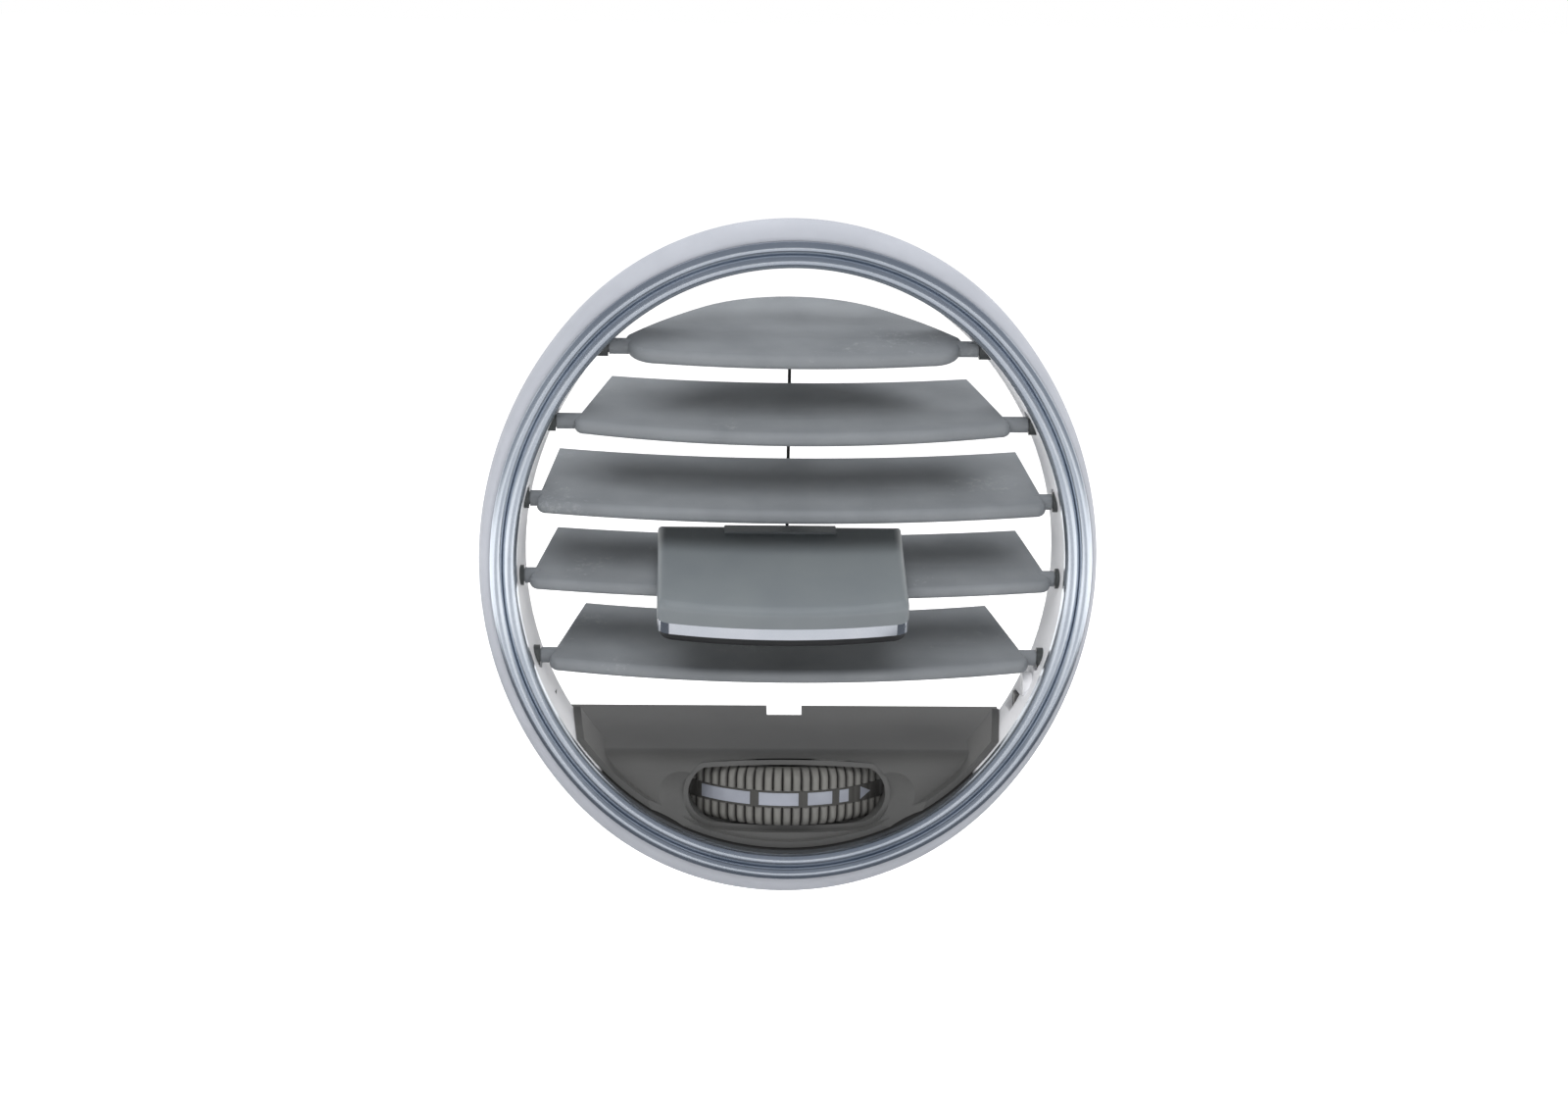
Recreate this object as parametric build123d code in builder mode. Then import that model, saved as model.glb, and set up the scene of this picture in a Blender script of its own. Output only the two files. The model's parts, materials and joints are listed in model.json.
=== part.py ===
from build123d import *
import math
import os

os.makedirs("parts", exist_ok=True)

# Round dashboard air vent: oval bezel, five linked vanes, sliding knob, flow wheel.
# Frame: X to the right, the vent faces -Y, Z up. The origin is the centre of the
# bezel's rear seat, the plane y = 0 that lies on the dashboard skin. All sizes in mm.

# Opening: half width of its oval at the front. An oval's half height is wider by the growth
OVAL_SHAPE = 0.62
OVAL_GROWTH = 5.2
OPENING_A = 53.4

# Bright ring with two beads, from the opening outwards
RING_WIDE = 5.2
RING_IN = OPENING_A
RING_OUT = RING_IN + RING_WIDE
RING_GROOVE = RING_IN + 0.54 * RING_WIDE
BEAD_IN_X = RING_IN + 0.27 * RING_WIDE
BEAD_OUT_X = RING_IN + 0.81 * RING_WIDE
BEAD_OUT_Y = -6.0
BEAD_IN_Y = -5.7
GROOVE_Y = -4.7
RING_INNER_Y = -4.1

# Bezel ovals, from the ring outwards: half widths, half heights and shifts to the left
RING_FIT = 0.05
NECK_FIT = 0.2
NECK_A = RING_IN + 2.8
RECESS_A = RING_OUT + RING_FIT
LEDGE_A = NECK_A + NECK_FIT
LIP_A = RING_OUT + 0.4
LIP_B = LIP_A + OVAL_GROWTH
LIP_SHIFT = -0.1
CREST_A = LIP_A + 1.0
CREST_B = LIP_B + 2.1
CREST_SHIFT = -0.4
RIM_A = CREST_A + 0.4
RIM_B = CREST_B + 1.3
RIM_SHIFT = -0.5
HOLLOW_A = RIM_A - 1.6
HOLLOW_B = RIM_B - 1.8

# Bezel depths, counted along Y
RIM_FRONT = -1.2
CREST_FRONT = -3.2
LIP_FRONT = -4.4
LEDGE_FRONT = -2.6
LEDGE_BACK = -1.4

# Carrier: flange, neck and tapered skirt
FLANGE_A = NECK_A + 1.4
FLANGE_BACK = 0.4
SKIRT_BACK = 9.0
SKIRT_TAPER = 1.2
SKIRT_WALL = 1.8
SKIRT_IN_FRONT = OPENING_A
SKIRT_IN_BACK = SKIRT_IN_FRONT - SKIRT_TAPER
SKIRT_OUT_FRONT = SKIRT_IN_FRONT + SKIRT_WALL
SKIRT_OUT_BACK = SKIRT_IN_BACK + SKIRT_WALL
BOSS_R = 3.2
BOSS_LEN = 3.6
BOSS_PROUD = 0.3
EYE_R = 2.6
EYE_REACH = 6.0
WINDOW_Z = -29.5
WINDOW_H = 3.6
WINDOW_Y = 5.5
WINDOW_W = 4.2
EAR_R = 2.6
EAR_Y = 2.8
EAR_Z = -25.4
EAR_PROUD = 0.9
EAR_HOLE = 0.45
CATCH_X = 18.0
CATCH_W = 8.0
# Side outline of a dashboard catch: depth and height above the skirt's crown
CATCH_SHAPE = [
    (FLANGE_BACK, -6.4),
    (SKIRT_BACK, -6.4),
    (SKIRT_BACK, -3.4),
    (3.6, 1.0),
    (3.0, -0.8),
    (FLANGE_BACK, -1.6),
]

# Vanes
PIVOT_Y = 2.0
TILT = 12.0
VANE_Z = [42.2, 27.4, 12.0, -3.5, -19.7]
VANE_T = 2.6
VANE_REAR_T = 1.1
TAPER_FROM = 2.0
TAPER_TO = 21.0
# For each vane: gap from its end to the boss, front edge at the ends and in the middle,
# how much shorter its rear edge is at each end, rear edge at the ends and in the middle.
# The top vane is a lens and has no straight rear corners.
VANE_PLAN = [
    (3.76, 1.7, 8.1, None, 0.0, 25.0),
    (3.98, 2.8, 8.4, 6.7, 20.0, 17.4),
    (1.86, 3.9, 6.8, 3.5, 22.5, 18.4),
    (1.53, 3.5, 6.8, 4.6, 20.3, 17.4),
    (2.23, 3.7, 7.8, 6.4, 20.8, 17.4),
]
LENS_SHOULDER = (0.9, 1.4)
EDGE_ROUND = 1.05
PIN_R = 1.25
CORNER_R = 2.0
ROOT_R = 1.55
PIN_FIT = 0.05
BUSH_R = 2.0
BUSH_PROUD = 0.3
ROOT_GAP = 0.5
ROOT_SUNK = 2.0
PIN_SUNK = 4.0
RING_LEN = 1.2
RING_R = 2.3
RING_ROOM = 0.4
END_GAP = 0.05

# Link behind the vanes
LINK_U = 21.4
LINK_V = -3.0
LINK_T = 0.6
LINK_HALF = 0.8
LINK_EYE = 1.8
LINK_PIN_R = 0.9
LUG_T = 2.0
HEAD_R = 1.25
HEAD_T = 0.5
# Outline of the lug under a vane that holds the link's pin, from the pin's centre
LUG_SHAPE = [
    (-7.4, 3.1),
    (-7.4, 2.2),
    (-0.9, -1.4),
    (1.1, -1.2),
    (1.5, 0.2),
    (0.6, 1.3),
    (-4.4, 3.1),
]

# Knob on the fourth vane
KNOB_X = -2.0
KNOB_HALF = 24.1
KNOB_REAR = 8.0
KNOB_CORNER = -22.1
KNOB_BOW = -25.0
KNOB_TOP_REAR = 7.8
KNOB_TOP_FRONT = 5.3
KNOB_CORNER_R = 3.0
KNOB_EDGE_R = 1.8
KNOB_WALL = 2.4
KNOB_ROOF = 1.8
TRIM_TOP = 1.1
TRIM_BOTTOM = -1.15
TRIM_T = 1.2
TRIM_REAR = -15.0
RIB_X = 14.0
RIB_T = 1.6
RIB_LEN = 6.0
RIB_MID = -1.5
PAD_LONG = 16.0
PAD_WIDE = 5.0
PAD_TOP = 3.2
PAD_GAP = 0.03
RAISED_LONG = 22.0
RAISED_WIDE = 3.0
RAISED_UP = 0.1
RAISED_BACK = 2.6
FORK_X = 3.2
FORK_Y = 10.0
FORK_W = 2.0
FORK_LEN = 7.0
BASE_INSET = 0.5
BASE_ROUND = 0.9
BASE_BOTTOM = -3.0
BASE_TOP = -1.65
SLOT_FRONT = -8.8
SLOT_HALF = 1.6
RUN_FIT = 0.05

# Heights below the opening, counted up from the tab at the carrier's foot
TAB_T = 2.0
TAB_BOTTOM = -(SKIRT_OUT_BACK + OVAL_GROWTH)
TAB_BACK = 18.6
PLATE_T = 2.0
PLATE_BOTTOM = TAB_BOTTOM + TAB_T
PLATE_TOP = PLATE_BOTTOM + PLATE_T
PLATE_HALF = 12.0
WHEEL_BOTTOM = PLATE_TOP + 0.8
WHEEL_TOP = WHEEL_BOTTOM + 11.8
BAND_BOTTOM = WHEEL_BOTTOM + 4.2
BAND_TOP = BAND_BOTTOM + 3.4
WEB_BOTTOM = BAND_BOTTOM + 0.5
WEB_TOP = BAND_TOP - 0.5
HUB_TOP = WEB_TOP + 0.3
CRANK_TOP = HUB_TOP + 2.2
CRANK_PIN_TOP = CRANK_TOP + 4.2

# Lower panel: depth and height of its side outline
PANEL_HALF = 44.1
PANEL_FOOT = (-0.8, -OPENING_A - 4.2)
PANEL_KNEE = (0.8, WHEEL_TOP + 2.4)
PANEL_TOP = (25.0, WHEEL_TOP + 5.9)
PANEL_T = 1.9
KNEE_R = 5.0
PANEL_GAP = 0.15
LINING_T = 1.2
LINING_FRONT = -1.8
LINING_UP_FRONT = 0.7
LINING_UP_BACK = 4.3
HOOK_BACK = 12.2
HOOK_FOOT = -40.4
HOOK_T = 1.2
HOOK_GAP = 0.3
HOOK_REACH = 0.2
POCKET_SKIN = 0.9
ARM_H = 1.4
ARM_SUNK = 2.0
NOTCH_HALF = 3.6
NOTCH_DEEP = 4.5
# Wheel slot: half widths and heights from the wheel's top
SLOT_TOP = (17.0, 1.0, 1.7)
SLOT_SIDE = (20.2, -2.6)
SLOT_FOOT = (15.0, -12.3, -13.0)
SLOT_DEEP = 8.0
SCOOP_X = 21.0
SCOOP_Y = -7.6
SCOOP_DOWN = 4.4
SCOOP_R = 9.0
# Curtain behind the slot that keeps the air off the wheel
CURTAIN_HALF = 24.0
CURTAIN_Y = 12.0
CURTAIN_T = 1.2

# Flow wheel
WHEEL_Y = 24.5
WHEEL_R = 26.0
RIB_COUNT = 84
RIB_DEEP = 0.9
RIB_FOOT_SHARE = 0.44
RIB_TOP_SHARE = 0.24
WHEEL_ROOM = 0.5
WHEEL_ROOM_TOP = 0.7
BAND_R = WHEEL_R - 0.4
WHEEL_SHOULDER = 1.7
RIM_INNER_R = WHEEL_R - 3.6
HUB_R = 7.0
AXLE_R = 3.0
AXLE_FIT = 0.05
AXLE_OVER = 0.6
AXLE_HEAD_R = 5.0
AXLE_HEAD_T = 1.2
MARK_ARCS = [(-41.4, -16.8), (-12.7, 5.1), (9.3, 20.7), (24.3, 29.0)]
ARROW_ARC = (35.5, 41.4)
MARK_DEEP = 0.8
MARK_PROUD = 0.06
MARK_HALF = 1.3
CRANK_X = -9.5
CRANK_Y = 10.0
WHEEL_CHORD = 11.0
CRANK_ARM = 2.8
CRANK_PIN_R = 2.0
CLIP_R = 5.4
CLIP_T = 0.8
CLIP_GAP = 0.1
SCREW_X = 8.5
SCREW_Y = 15.5
SCREW_R = 1.4
SCREW_HEAD_R = 2.7
SCREW_HEAD_T = 1.7
SCREW_TIP = 0.3
HEX_R = 1.3
HEX_DEEP = 0.9
# Length that runs clear through any part of the vent
THROUGH = 60.0


def facing(y):
    """Plane that looks to the front at depth y: local x = X, local y = Z."""
    return Plane(origin=(0, y, 0), x_dir=(1, 0, 0), z_dir=(0, -1, 0))


def oval_sizes(a, b):
    """End radius, side radius and the tangent point of a four centre oval."""
    spread = b - a
    inset = OVAL_SHAPE * spread
    end_r = a - inset
    side_r = b + spread**2 / (2 * inset)
    px = end_r * (side_r - a) / (side_r - end_r)
    pz = (b - end_r) * side_r / (side_r - end_r)
    return end_r, side_r, px, pz


def oval_face(a, b, shift=0.0):
    """Filled oval in the current sketch."""
    end_r, side_r, px, pz = oval_sizes(a, b)
    with BuildLine() as outline:
        ThreePointArc((shift + px, -pz), (shift + a, 0), (shift + px, pz))
        ThreePointArc((shift + px, pz), (shift, b), (shift - px, pz))
        ThreePointArc((shift - px, pz), (shift - a, 0), (shift - px, -pz))
        ThreePointArc((shift - px, -pz), (shift, -b), (shift + px, -pz))
    make_face(outline.edges())


def inner_oval(a):
    """Oval of the family that runs round the opening."""
    oval_face(a, a + OVAL_GROWTH)


def half_width(a, z):
    """Half width of an opening oval at height z."""
    b = a + OVAL_GROWTH
    end_r, side_r, px, pz = oval_sizes(a, b)
    if abs(z) < pz:
        return math.sqrt(side_r**2 - z**2) - (side_r - a)
    return math.sqrt(end_r**2 - (abs(z) - (b - end_r)) ** 2)


def skirt_at(y):
    """Half width of the skirt's inner wall at depth y."""
    run = (y - LEDGE_FRONT) / (SKIRT_BACK - LEDGE_FRONT)
    return SKIRT_IN_FRONT + run * (SKIRT_IN_BACK - SKIRT_IN_FRONT)


def vane_plane(z):
    """Plane of a vane at rest: local x = X, local y = towards the rear edge."""
    tilt = math.radians(TILT)
    return Plane(origin=(0, PIVOT_Y, z), x_dir=(1, 0, 0), z_dir=(0, -math.sin(tilt), math.cos(tilt)))


def vane_side(z, x=0.0):
    """Side plane of a vane at rest: local x = towards the rear, local y = up from it."""
    tilt = math.radians(TILT)
    return Plane(origin=(x, PIVOT_Y, z), x_dir=(0, math.cos(tilt), math.sin(tilt)), z_dir=(1, 0, 0))


def bush_face(z):
    """X of the inner end of a pivot boss."""
    return half_width(skirt_at(PIVOT_Y), z) - BOSS_PROUD


# Outer bezel: painted band, convex, open at the back
with BuildPart() as outer_bezel:
    with BuildSketch(facing(0)):
        oval_face(RIM_A, RIM_B, RIM_SHIFT)
    extrude(amount=-RIM_FRONT)
    with BuildSketch(facing(RIM_FRONT)):
        oval_face(RIM_A, RIM_B, RIM_SHIFT)
    with BuildSketch(facing(CREST_FRONT)):
        oval_face(CREST_A, CREST_B, CREST_SHIFT)
    with BuildSketch(facing(LIP_FRONT)):
        oval_face(LIP_A, LIP_B, LIP_SHIFT)
    loft()
    with BuildSketch(facing(LEDGE_FRONT)):
        inner_oval(RECESS_A)
    extrude(amount=LEDGE_FRONT - LIP_FRONT + 1, mode=Mode.SUBTRACT)
    with BuildSketch(facing(0)):
        inner_oval(LEDGE_A)
    extrude(amount=1 - LIP_FRONT, mode=Mode.SUBTRACT)
    with BuildSketch(facing(0)):
        oval_face(HOLLOW_A, HOLLOW_B)
    extrude(amount=-LEDGE_BACK, mode=Mode.SUBTRACT)
outer_bezel.part.label = "outer_bezel"
export_step(outer_bezel.part, "parts/outer_bezel.step")

# Bright ring: two rounded beads with a groove between them
end_r, side_r, ring_px, ring_pz = oval_sizes(RING_IN, RING_IN + OVAL_GROWTH)
half_turn = math.asin(ring_pz / side_r) / 2
ring_mid = (side_r * math.cos(half_turn) - (side_r - RING_IN), side_r * math.sin(half_turn))
with BuildPart() as chrome_ring:
    with BuildLine(facing(LEDGE_FRONT)) as ring_path:
        ThreePointArc((RING_IN, 0), ring_mid, (ring_px, ring_pz))
        ThreePointArc((ring_px, ring_pz), (0, RING_IN + OVAL_GROWTH), (-ring_px, ring_pz))
        ThreePointArc((-ring_px, ring_pz), (-RING_IN, 0), (-ring_px, -ring_pz))
        ThreePointArc((-ring_px, -ring_pz), (0, -RING_IN - OVAL_GROWTH), (ring_px, -ring_pz))
        ThreePointArc((ring_px, -ring_pz), (ring_mid[0], -ring_mid[1]), (RING_IN, 0))
    with BuildSketch(Plane.XY):
        with BuildLine():
            Line((RING_IN, LEDGE_FRONT), (RING_OUT, LEDGE_FRONT))
            Line((RING_OUT, LEDGE_FRONT), (RING_OUT, LIP_FRONT))
            ThreePointArc((RING_OUT, LIP_FRONT), (BEAD_OUT_X, BEAD_OUT_Y), (RING_GROOVE, GROOVE_Y))
            ThreePointArc((RING_GROOVE, GROOVE_Y), (BEAD_IN_X, BEAD_IN_Y), (RING_IN, RING_INNER_Y))
            Line((RING_IN, RING_INNER_Y), (RING_IN, LEDGE_FRONT))
        make_face()
    sweep(path=ring_path.line)
chrome_ring.part.label = "chrome_ring"
export_step(chrome_ring.part, "parts/chrome_ring.step")

# Carrier: flange, tapered skirt, pivot bosses, panel window and pocket, dashboard catches
window_in = half_width(skirt_at(WINDOW_Y), WINDOW_Z)
pocket_floor = window_in + POCKET_SKIN
with BuildPart() as carrier:
    with BuildSketch(facing(FLANGE_BACK)):
        inner_oval(FLANGE_A)
    extrude(amount=FLANGE_BACK - LEDGE_BACK)
    with BuildSketch(facing(LEDGE_BACK)):
        inner_oval(NECK_A)
    extrude(amount=LEDGE_BACK - LEDGE_FRONT)
    with BuildSketch(facing(FLANGE_BACK)):
        inner_oval(SKIRT_OUT_FRONT)
    with BuildSketch(facing(SKIRT_BACK)):
        inner_oval(SKIRT_OUT_BACK)
    loft(ruled=True)
    for z in VANE_Z:
        for side in (-1, 1):
            with BuildSketch(Plane.YZ.offset(side * bush_face(z))):
                with Locations((PIVOT_Y, z)):
                    Circle(BOSS_R)
            extrude(amount=side * BOSS_LEN)
    with BuildSketch(Plane.XY.offset(TAB_BOTTOM)):
        with Locations((0, (SKIRT_BACK - 1 + TAB_BACK) / 2)):
            Rectangle(2 * PLATE_HALF, TAB_BACK - SKIRT_BACK + 1)
    extrude(amount=PLATE_BOTTOM - TAB_BOTTOM)
    crown = SKIRT_OUT_FRONT + OVAL_GROWTH
    for side in (-1, 1):
        for up in (-1, 1):
            with BuildSketch(Plane.YZ.offset(side * CATCH_X)):
                with BuildLine():
                    Polyline(*[(y, up * (crown + rise)) for y, rise in CATCH_SHAPE], close=True)
                make_face()
            extrude(amount=CATCH_W / 2, both=True)
    with BuildSketch(facing(LEDGE_FRONT)):
        inner_oval(SKIRT_IN_FRONT)
    with BuildSketch(facing(SKIRT_BACK)):
        inner_oval(SKIRT_IN_BACK)
    loft(ruled=True, mode=Mode.SUBTRACT)
    with BuildSketch(Plane.YZ.offset(half_width(skirt_at(EAR_Y), EAR_Z) - EAR_PROUD)):
        with Locations((EAR_Y, EAR_Z)):
            Circle(EAR_R)
            Circle(EAR_HOLE, mode=Mode.SUBTRACT)
    extrude(amount=2 * EAR_PROUD)
    for z in VANE_Z:
        for side in (-1, 1):
            with BuildSketch(Plane.YZ.offset(side * bush_face(z))):
                with Locations((PIVOT_Y, z)):
                    Circle(BUSH_R)
            extrude(amount=side * (BOSS_LEN + 1), mode=Mode.SUBTRACT)
            with BuildSketch(Plane.YZ.offset(side * bush_face(z))):
                with Locations((PIVOT_Y, z)):
                    Circle(EYE_R)
            extrude(amount=-side * EYE_REACH, mode=Mode.SUBTRACT)
            with BuildSketch(Plane.YZ.offset(side * (bush_face(z) + BOSS_LEN))):
                with Locations((PIVOT_Y, z)):
                    Circle(RING_R + RING_ROOM)
            extrude(amount=side * 4, mode=Mode.SUBTRACT)
    for side, start in ((1, 0), (-1, pocket_floor)):
        with BuildSketch(Plane.YZ.offset(side * start)):
            with Locations((WINDOW_Y, WINDOW_Z)):
                Rectangle(WINDOW_W, WINDOW_H)
        extrude(amount=side * THROUGH, mode=Mode.SUBTRACT)
    with BuildSketch(Plane.XY.offset(TAB_BOTTOM)):
        with Locations((-SCREW_X, SCREW_Y), (SCREW_X, SCREW_Y)):
            Circle(SCREW_R)
    extrude(amount=PLATE_BOTTOM - TAB_BOTTOM, mode=Mode.SUBTRACT)
    with BuildSketch(Plane.XY.offset(WHEEL_BOTTOM - WHEEL_ROOM)):
        with Locations((0, WHEEL_Y)):
            Circle(WHEEL_R + WHEEL_ROOM)
    extrude(amount=WHEEL_TOP - WHEEL_BOTTOM + WHEEL_ROOM, mode=Mode.SUBTRACT)
carrier.part.label = "carrier"
export_step(carrier.part, "parts/carrier.step")

# Pivot bushes: ten sleeves in the carrier's bosses
with BuildPart() as pivot_bushes:
    for z in VANE_Z:
        for side in (-1, 1):
            with BuildSketch(Plane.YZ.offset(side * (bush_face(z) - BUSH_PROUD))):
                with Locations((PIVOT_Y, z)):
                    Circle(BUSH_R)
                    Circle(PIN_R + PIN_FIT, mode=Mode.SUBTRACT)
            extrude(amount=side * (BOSS_LEN + BUSH_PROUD))
pivot_bushes.part.label = "pivot_bushes"
export_step(pivot_bushes.part, "parts/pivot_bushes.step")


def make_vane(number):
    """One vane with its pins, its lug and the stub that carries the link."""
    z = VANE_Z[number]
    end_gap, front_end, front_mid, rear_inset, rear_end, rear_mid = VANE_PLAN[number]
    span = bush_face(z) - end_gap
    is_lens = rear_inset is None
    plane = vane_plane(z)
    with BuildPart() as vane:
        with BuildSketch(plane) as plan:
            with BuildLine():
                ThreePointArc((-span, -front_end), (0, -front_mid), (span, -front_end))
                if is_lens:
                    rear_half = span + LENS_SHOULDER[0]
                    rear_end = LENS_SHOULDER[1]
                else:
                    rear_half = span - rear_inset
                Line((span, -front_end), (rear_half, rear_end))
                ThreePointArc((rear_half, rear_end), (0, rear_mid), (-rear_half, rear_end))
                Line((-rear_half, rear_end), (-span, -front_end))
            make_face()
            fillet(plan.vertices().group_by(Axis.Y)[0], radius=CORNER_R)
        extrude(amount=VANE_T / 2, both=True)
        reach = 0.5 if is_lens else rear_mid - 2
        edges = vane.edges().filter_by(
            lambda edge: plane.to_local_coords(edge.center()).Y < reach
            and abs(abs(plane.to_local_coords(edge.center()).Z) - VANE_T / 2) < 0.01
        )
        fillet(edges, radius=EDGE_ROUND)
        behind = rear_mid + 6
        drop = (VANE_T - VANE_REAR_T) / 2 * (behind - TAPER_FROM) / (TAPER_TO - TAPER_FROM)
        for up in (-1, 1):
            with BuildSketch(vane_side(z)):
                with BuildLine():
                    Polyline(
                        (TAPER_FROM, up * VANE_T / 2),
                        (behind, up * (VANE_T / 2 - drop)),
                        (behind, up * VANE_T),
                        (TAPER_FROM, up * VANE_T),
                        close=True,
                    )
                make_face()
            extrude(amount=THROUGH, both=True, mode=Mode.SUBTRACT)
        for side in (-1, 1):
            pin_end = bush_face(z) + BOSS_LEN
            if number == 3:
                pin_end = pin_end + RING_LEN + END_GAP
            with BuildSketch(vane_side(z, side * (span - PIN_SUNK))):
                Circle(PIN_R)
            extrude(amount=side * (pin_end - span + PIN_SUNK))
            with BuildSketch(vane_side(z, side * (span - ROOT_SUNK))):
                Circle(ROOT_R)
            extrude(amount=side * (bush_face(z) - ROOT_GAP - span + ROOT_SUNK))
        with BuildSketch(vane_side(z, LINK_T / 2 + RUN_FIT)):
            with BuildLine():
                Polyline(*[(LINK_U + u, LINK_V + v) for u, v in LUG_SHAPE], close=True)
            make_face()
        extrude(amount=LUG_T)
        with BuildSketch(vane_side(z, LINK_T / 2 + RUN_FIT)):
            with Locations((LINK_U, LINK_V)):
                Circle(LINK_PIN_R)
        extrude(amount=-(LINK_T + 2 * RUN_FIT))
        with BuildSketch(vane_side(z, -LINK_T / 2 - RUN_FIT)):
            with Locations((LINK_U, LINK_V)):
                Circle(HEAD_R)
        extrude(amount=-HEAD_T)
    return vane


for number in range(len(VANE_Z)):
    vane = make_vane(number)
    vane_name = f"vane_{number + 1}"
    vane.part.label = vane_name
    export_step(vane.part, f"parts/{vane_name}.step")

# Friction rings on the ends of the fourth vane's pins
driver_z = VANE_Z[3]
with BuildPart() as friction_rings:
    for side in (-1, 1):
        start = bush_face(driver_z) + BOSS_LEN + END_GAP
        with BuildSketch(Plane.YZ.offset(side * start)):
            with Locations((PIVOT_Y, driver_z)):
                Circle(RING_R)
                Circle(PIN_R, mode=Mode.SUBTRACT)
        extrude(amount=side * RING_LEN)
friction_rings.part.label = "friction_rings"
export_step(friction_rings.part, "parts/friction_rings.step")

# Link: one thin upright strip with an eye at each vane
link_tilt = math.radians(TILT)
link_y = PIVOT_Y + LINK_U * math.cos(link_tilt) - LINK_V * math.sin(link_tilt)
link_rise = LINK_U * math.sin(link_tilt) + LINK_V * math.cos(link_tilt)
link_top = VANE_Z[0] + link_rise
link_foot = VANE_Z[-1] + link_rise
with BuildPart() as link_bar:
    with BuildSketch(Plane.YZ):
        with Locations((link_y, (link_top + link_foot) / 2)):
            Rectangle(2 * LINK_HALF, link_top - link_foot)
        with Locations(*[(link_y, z + link_rise) for z in VANE_Z]):
            Circle(LINK_EYE)
            Circle(LINK_PIN_R + PIN_FIT, mode=Mode.SUBTRACT)
    extrude(amount=LINK_T / 2, both=True)
link_bar.part.label = "link_bar"
export_step(link_bar.part, "parts/link_bar.step")


def knob_plan(inset):
    """Outline of the knob seen from above its vane, moved in by inset."""
    half = KNOB_HALF - inset
    with BuildLine() as outline:
        ThreePointArc(
            (KNOB_X - half, KNOB_CORNER + inset),
            (KNOB_X, KNOB_BOW + inset),
            (KNOB_X + half, KNOB_CORNER + inset),
        )
        Line((KNOB_X + half, KNOB_CORNER + inset), (KNOB_X + half, KNOB_REAR - inset))
        Line((KNOB_X + half, KNOB_REAR - inset), (KNOB_X - half, KNOB_REAR - inset))
        Line((KNOB_X - half, KNOB_REAR - inset), (KNOB_X - half, KNOB_CORNER + inset))
    make_face(outline.edges())


def roof_profile(low, drop):
    """Side profile of the knob's upper shell from height low, its roof lowered by drop."""
    slope = (KNOB_TOP_REAR - KNOB_TOP_FRONT) / (KNOB_REAR - KNOB_CORNER)
    front = KNOB_TOP_FRONT - drop + (KNOB_BOW - 5 - KNOB_CORNER) * slope
    rear = KNOB_TOP_REAR - drop + 5 * slope
    with BuildLine() as outline:
        Polyline(
            (KNOB_BOW - 5, low),
            (KNOB_REAR + 5, low),
            (KNOB_REAR + 5, rear),
            (KNOB_BOW - 5, front),
            close=True,
        )
    make_face(outline.edges())


driver_plane = vane_plane(driver_z)

# Hollow of the knob's upper shell
with BuildPart() as knob_hollow:
    with BuildSketch(driver_plane.offset(TRIM_TOP)):
        knob_plan(KNOB_WALL)
    extrude(amount=10)
    with BuildSketch(vane_side(driver_z)):
        roof_profile(TRIM_TOP, KNOB_ROOF)
    extrude(amount=THROUGH, both=True, mode=Mode.INTERSECT)

# Knob top: the finger surface with guide ribs and a post for the pad
with BuildPart() as knob_top:
    with BuildSketch(driver_plane.offset(TRIM_TOP)) as top_plan:
        knob_plan(0)
        fillet(top_plan.vertices().group_by(Axis.Y)[0], radius=KNOB_CORNER_R)
    extrude(amount=10)
    with BuildSketch(vane_side(driver_z)):
        roof_profile(TRIM_TOP, 0)
    extrude(amount=THROUGH, both=True, mode=Mode.INTERSECT)
    top_face = knob_top.faces().sort_by(lambda face: driver_plane.to_local_coords(face.center()).Z)[-1]
    fillet(top_face.edges(), radius=KNOB_EDGE_R)
    add(knob_hollow.part, mode=Mode.SUBTRACT)
    with BuildSketch(vane_side(driver_z)):
        with Locations(((SLOT_FRONT + KNOB_REAR + 1) / 2, SLOT_HALF / 2)):
            Rectangle(KNOB_REAR + 1 - SLOT_FRONT, SLOT_HALF)
    extrude(amount=THROUGH, both=True, mode=Mode.SUBTRACT)
    with BuildSketch(driver_plane.offset(VANE_T / 2 + RUN_FIT)):
        with Locations((KNOB_X - RIB_X, RIB_MID), (KNOB_X + RIB_X, RIB_MID)):
            Rectangle(RIB_T, RIB_LEN)
    extrude(amount=KNOB_TOP_FRONT - RIB_T)
    with BuildSketch(driver_plane.offset(PAD_TOP)):
        with Locations((KNOB_X, RIB_MID)):
            Rectangle(PAD_LONG, PAD_WIDE)
    extrude(amount=KNOB_TOP_FRONT - PAD_TOP)
    with BuildSketch(driver_plane.offset(KNOB_TOP_FRONT)):
        with Locations((KNOB_X, KNOB_REAR - RAISED_BACK)):
            Rectangle(RAISED_LONG, RAISED_WIDE)
    extrude(amount=KNOB_TOP_REAR - KNOB_TOP_FRONT + RAISED_UP)
knob_top.part.label = "knob_top"
export_step(knob_top.part, "parts/knob_top.step")

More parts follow.
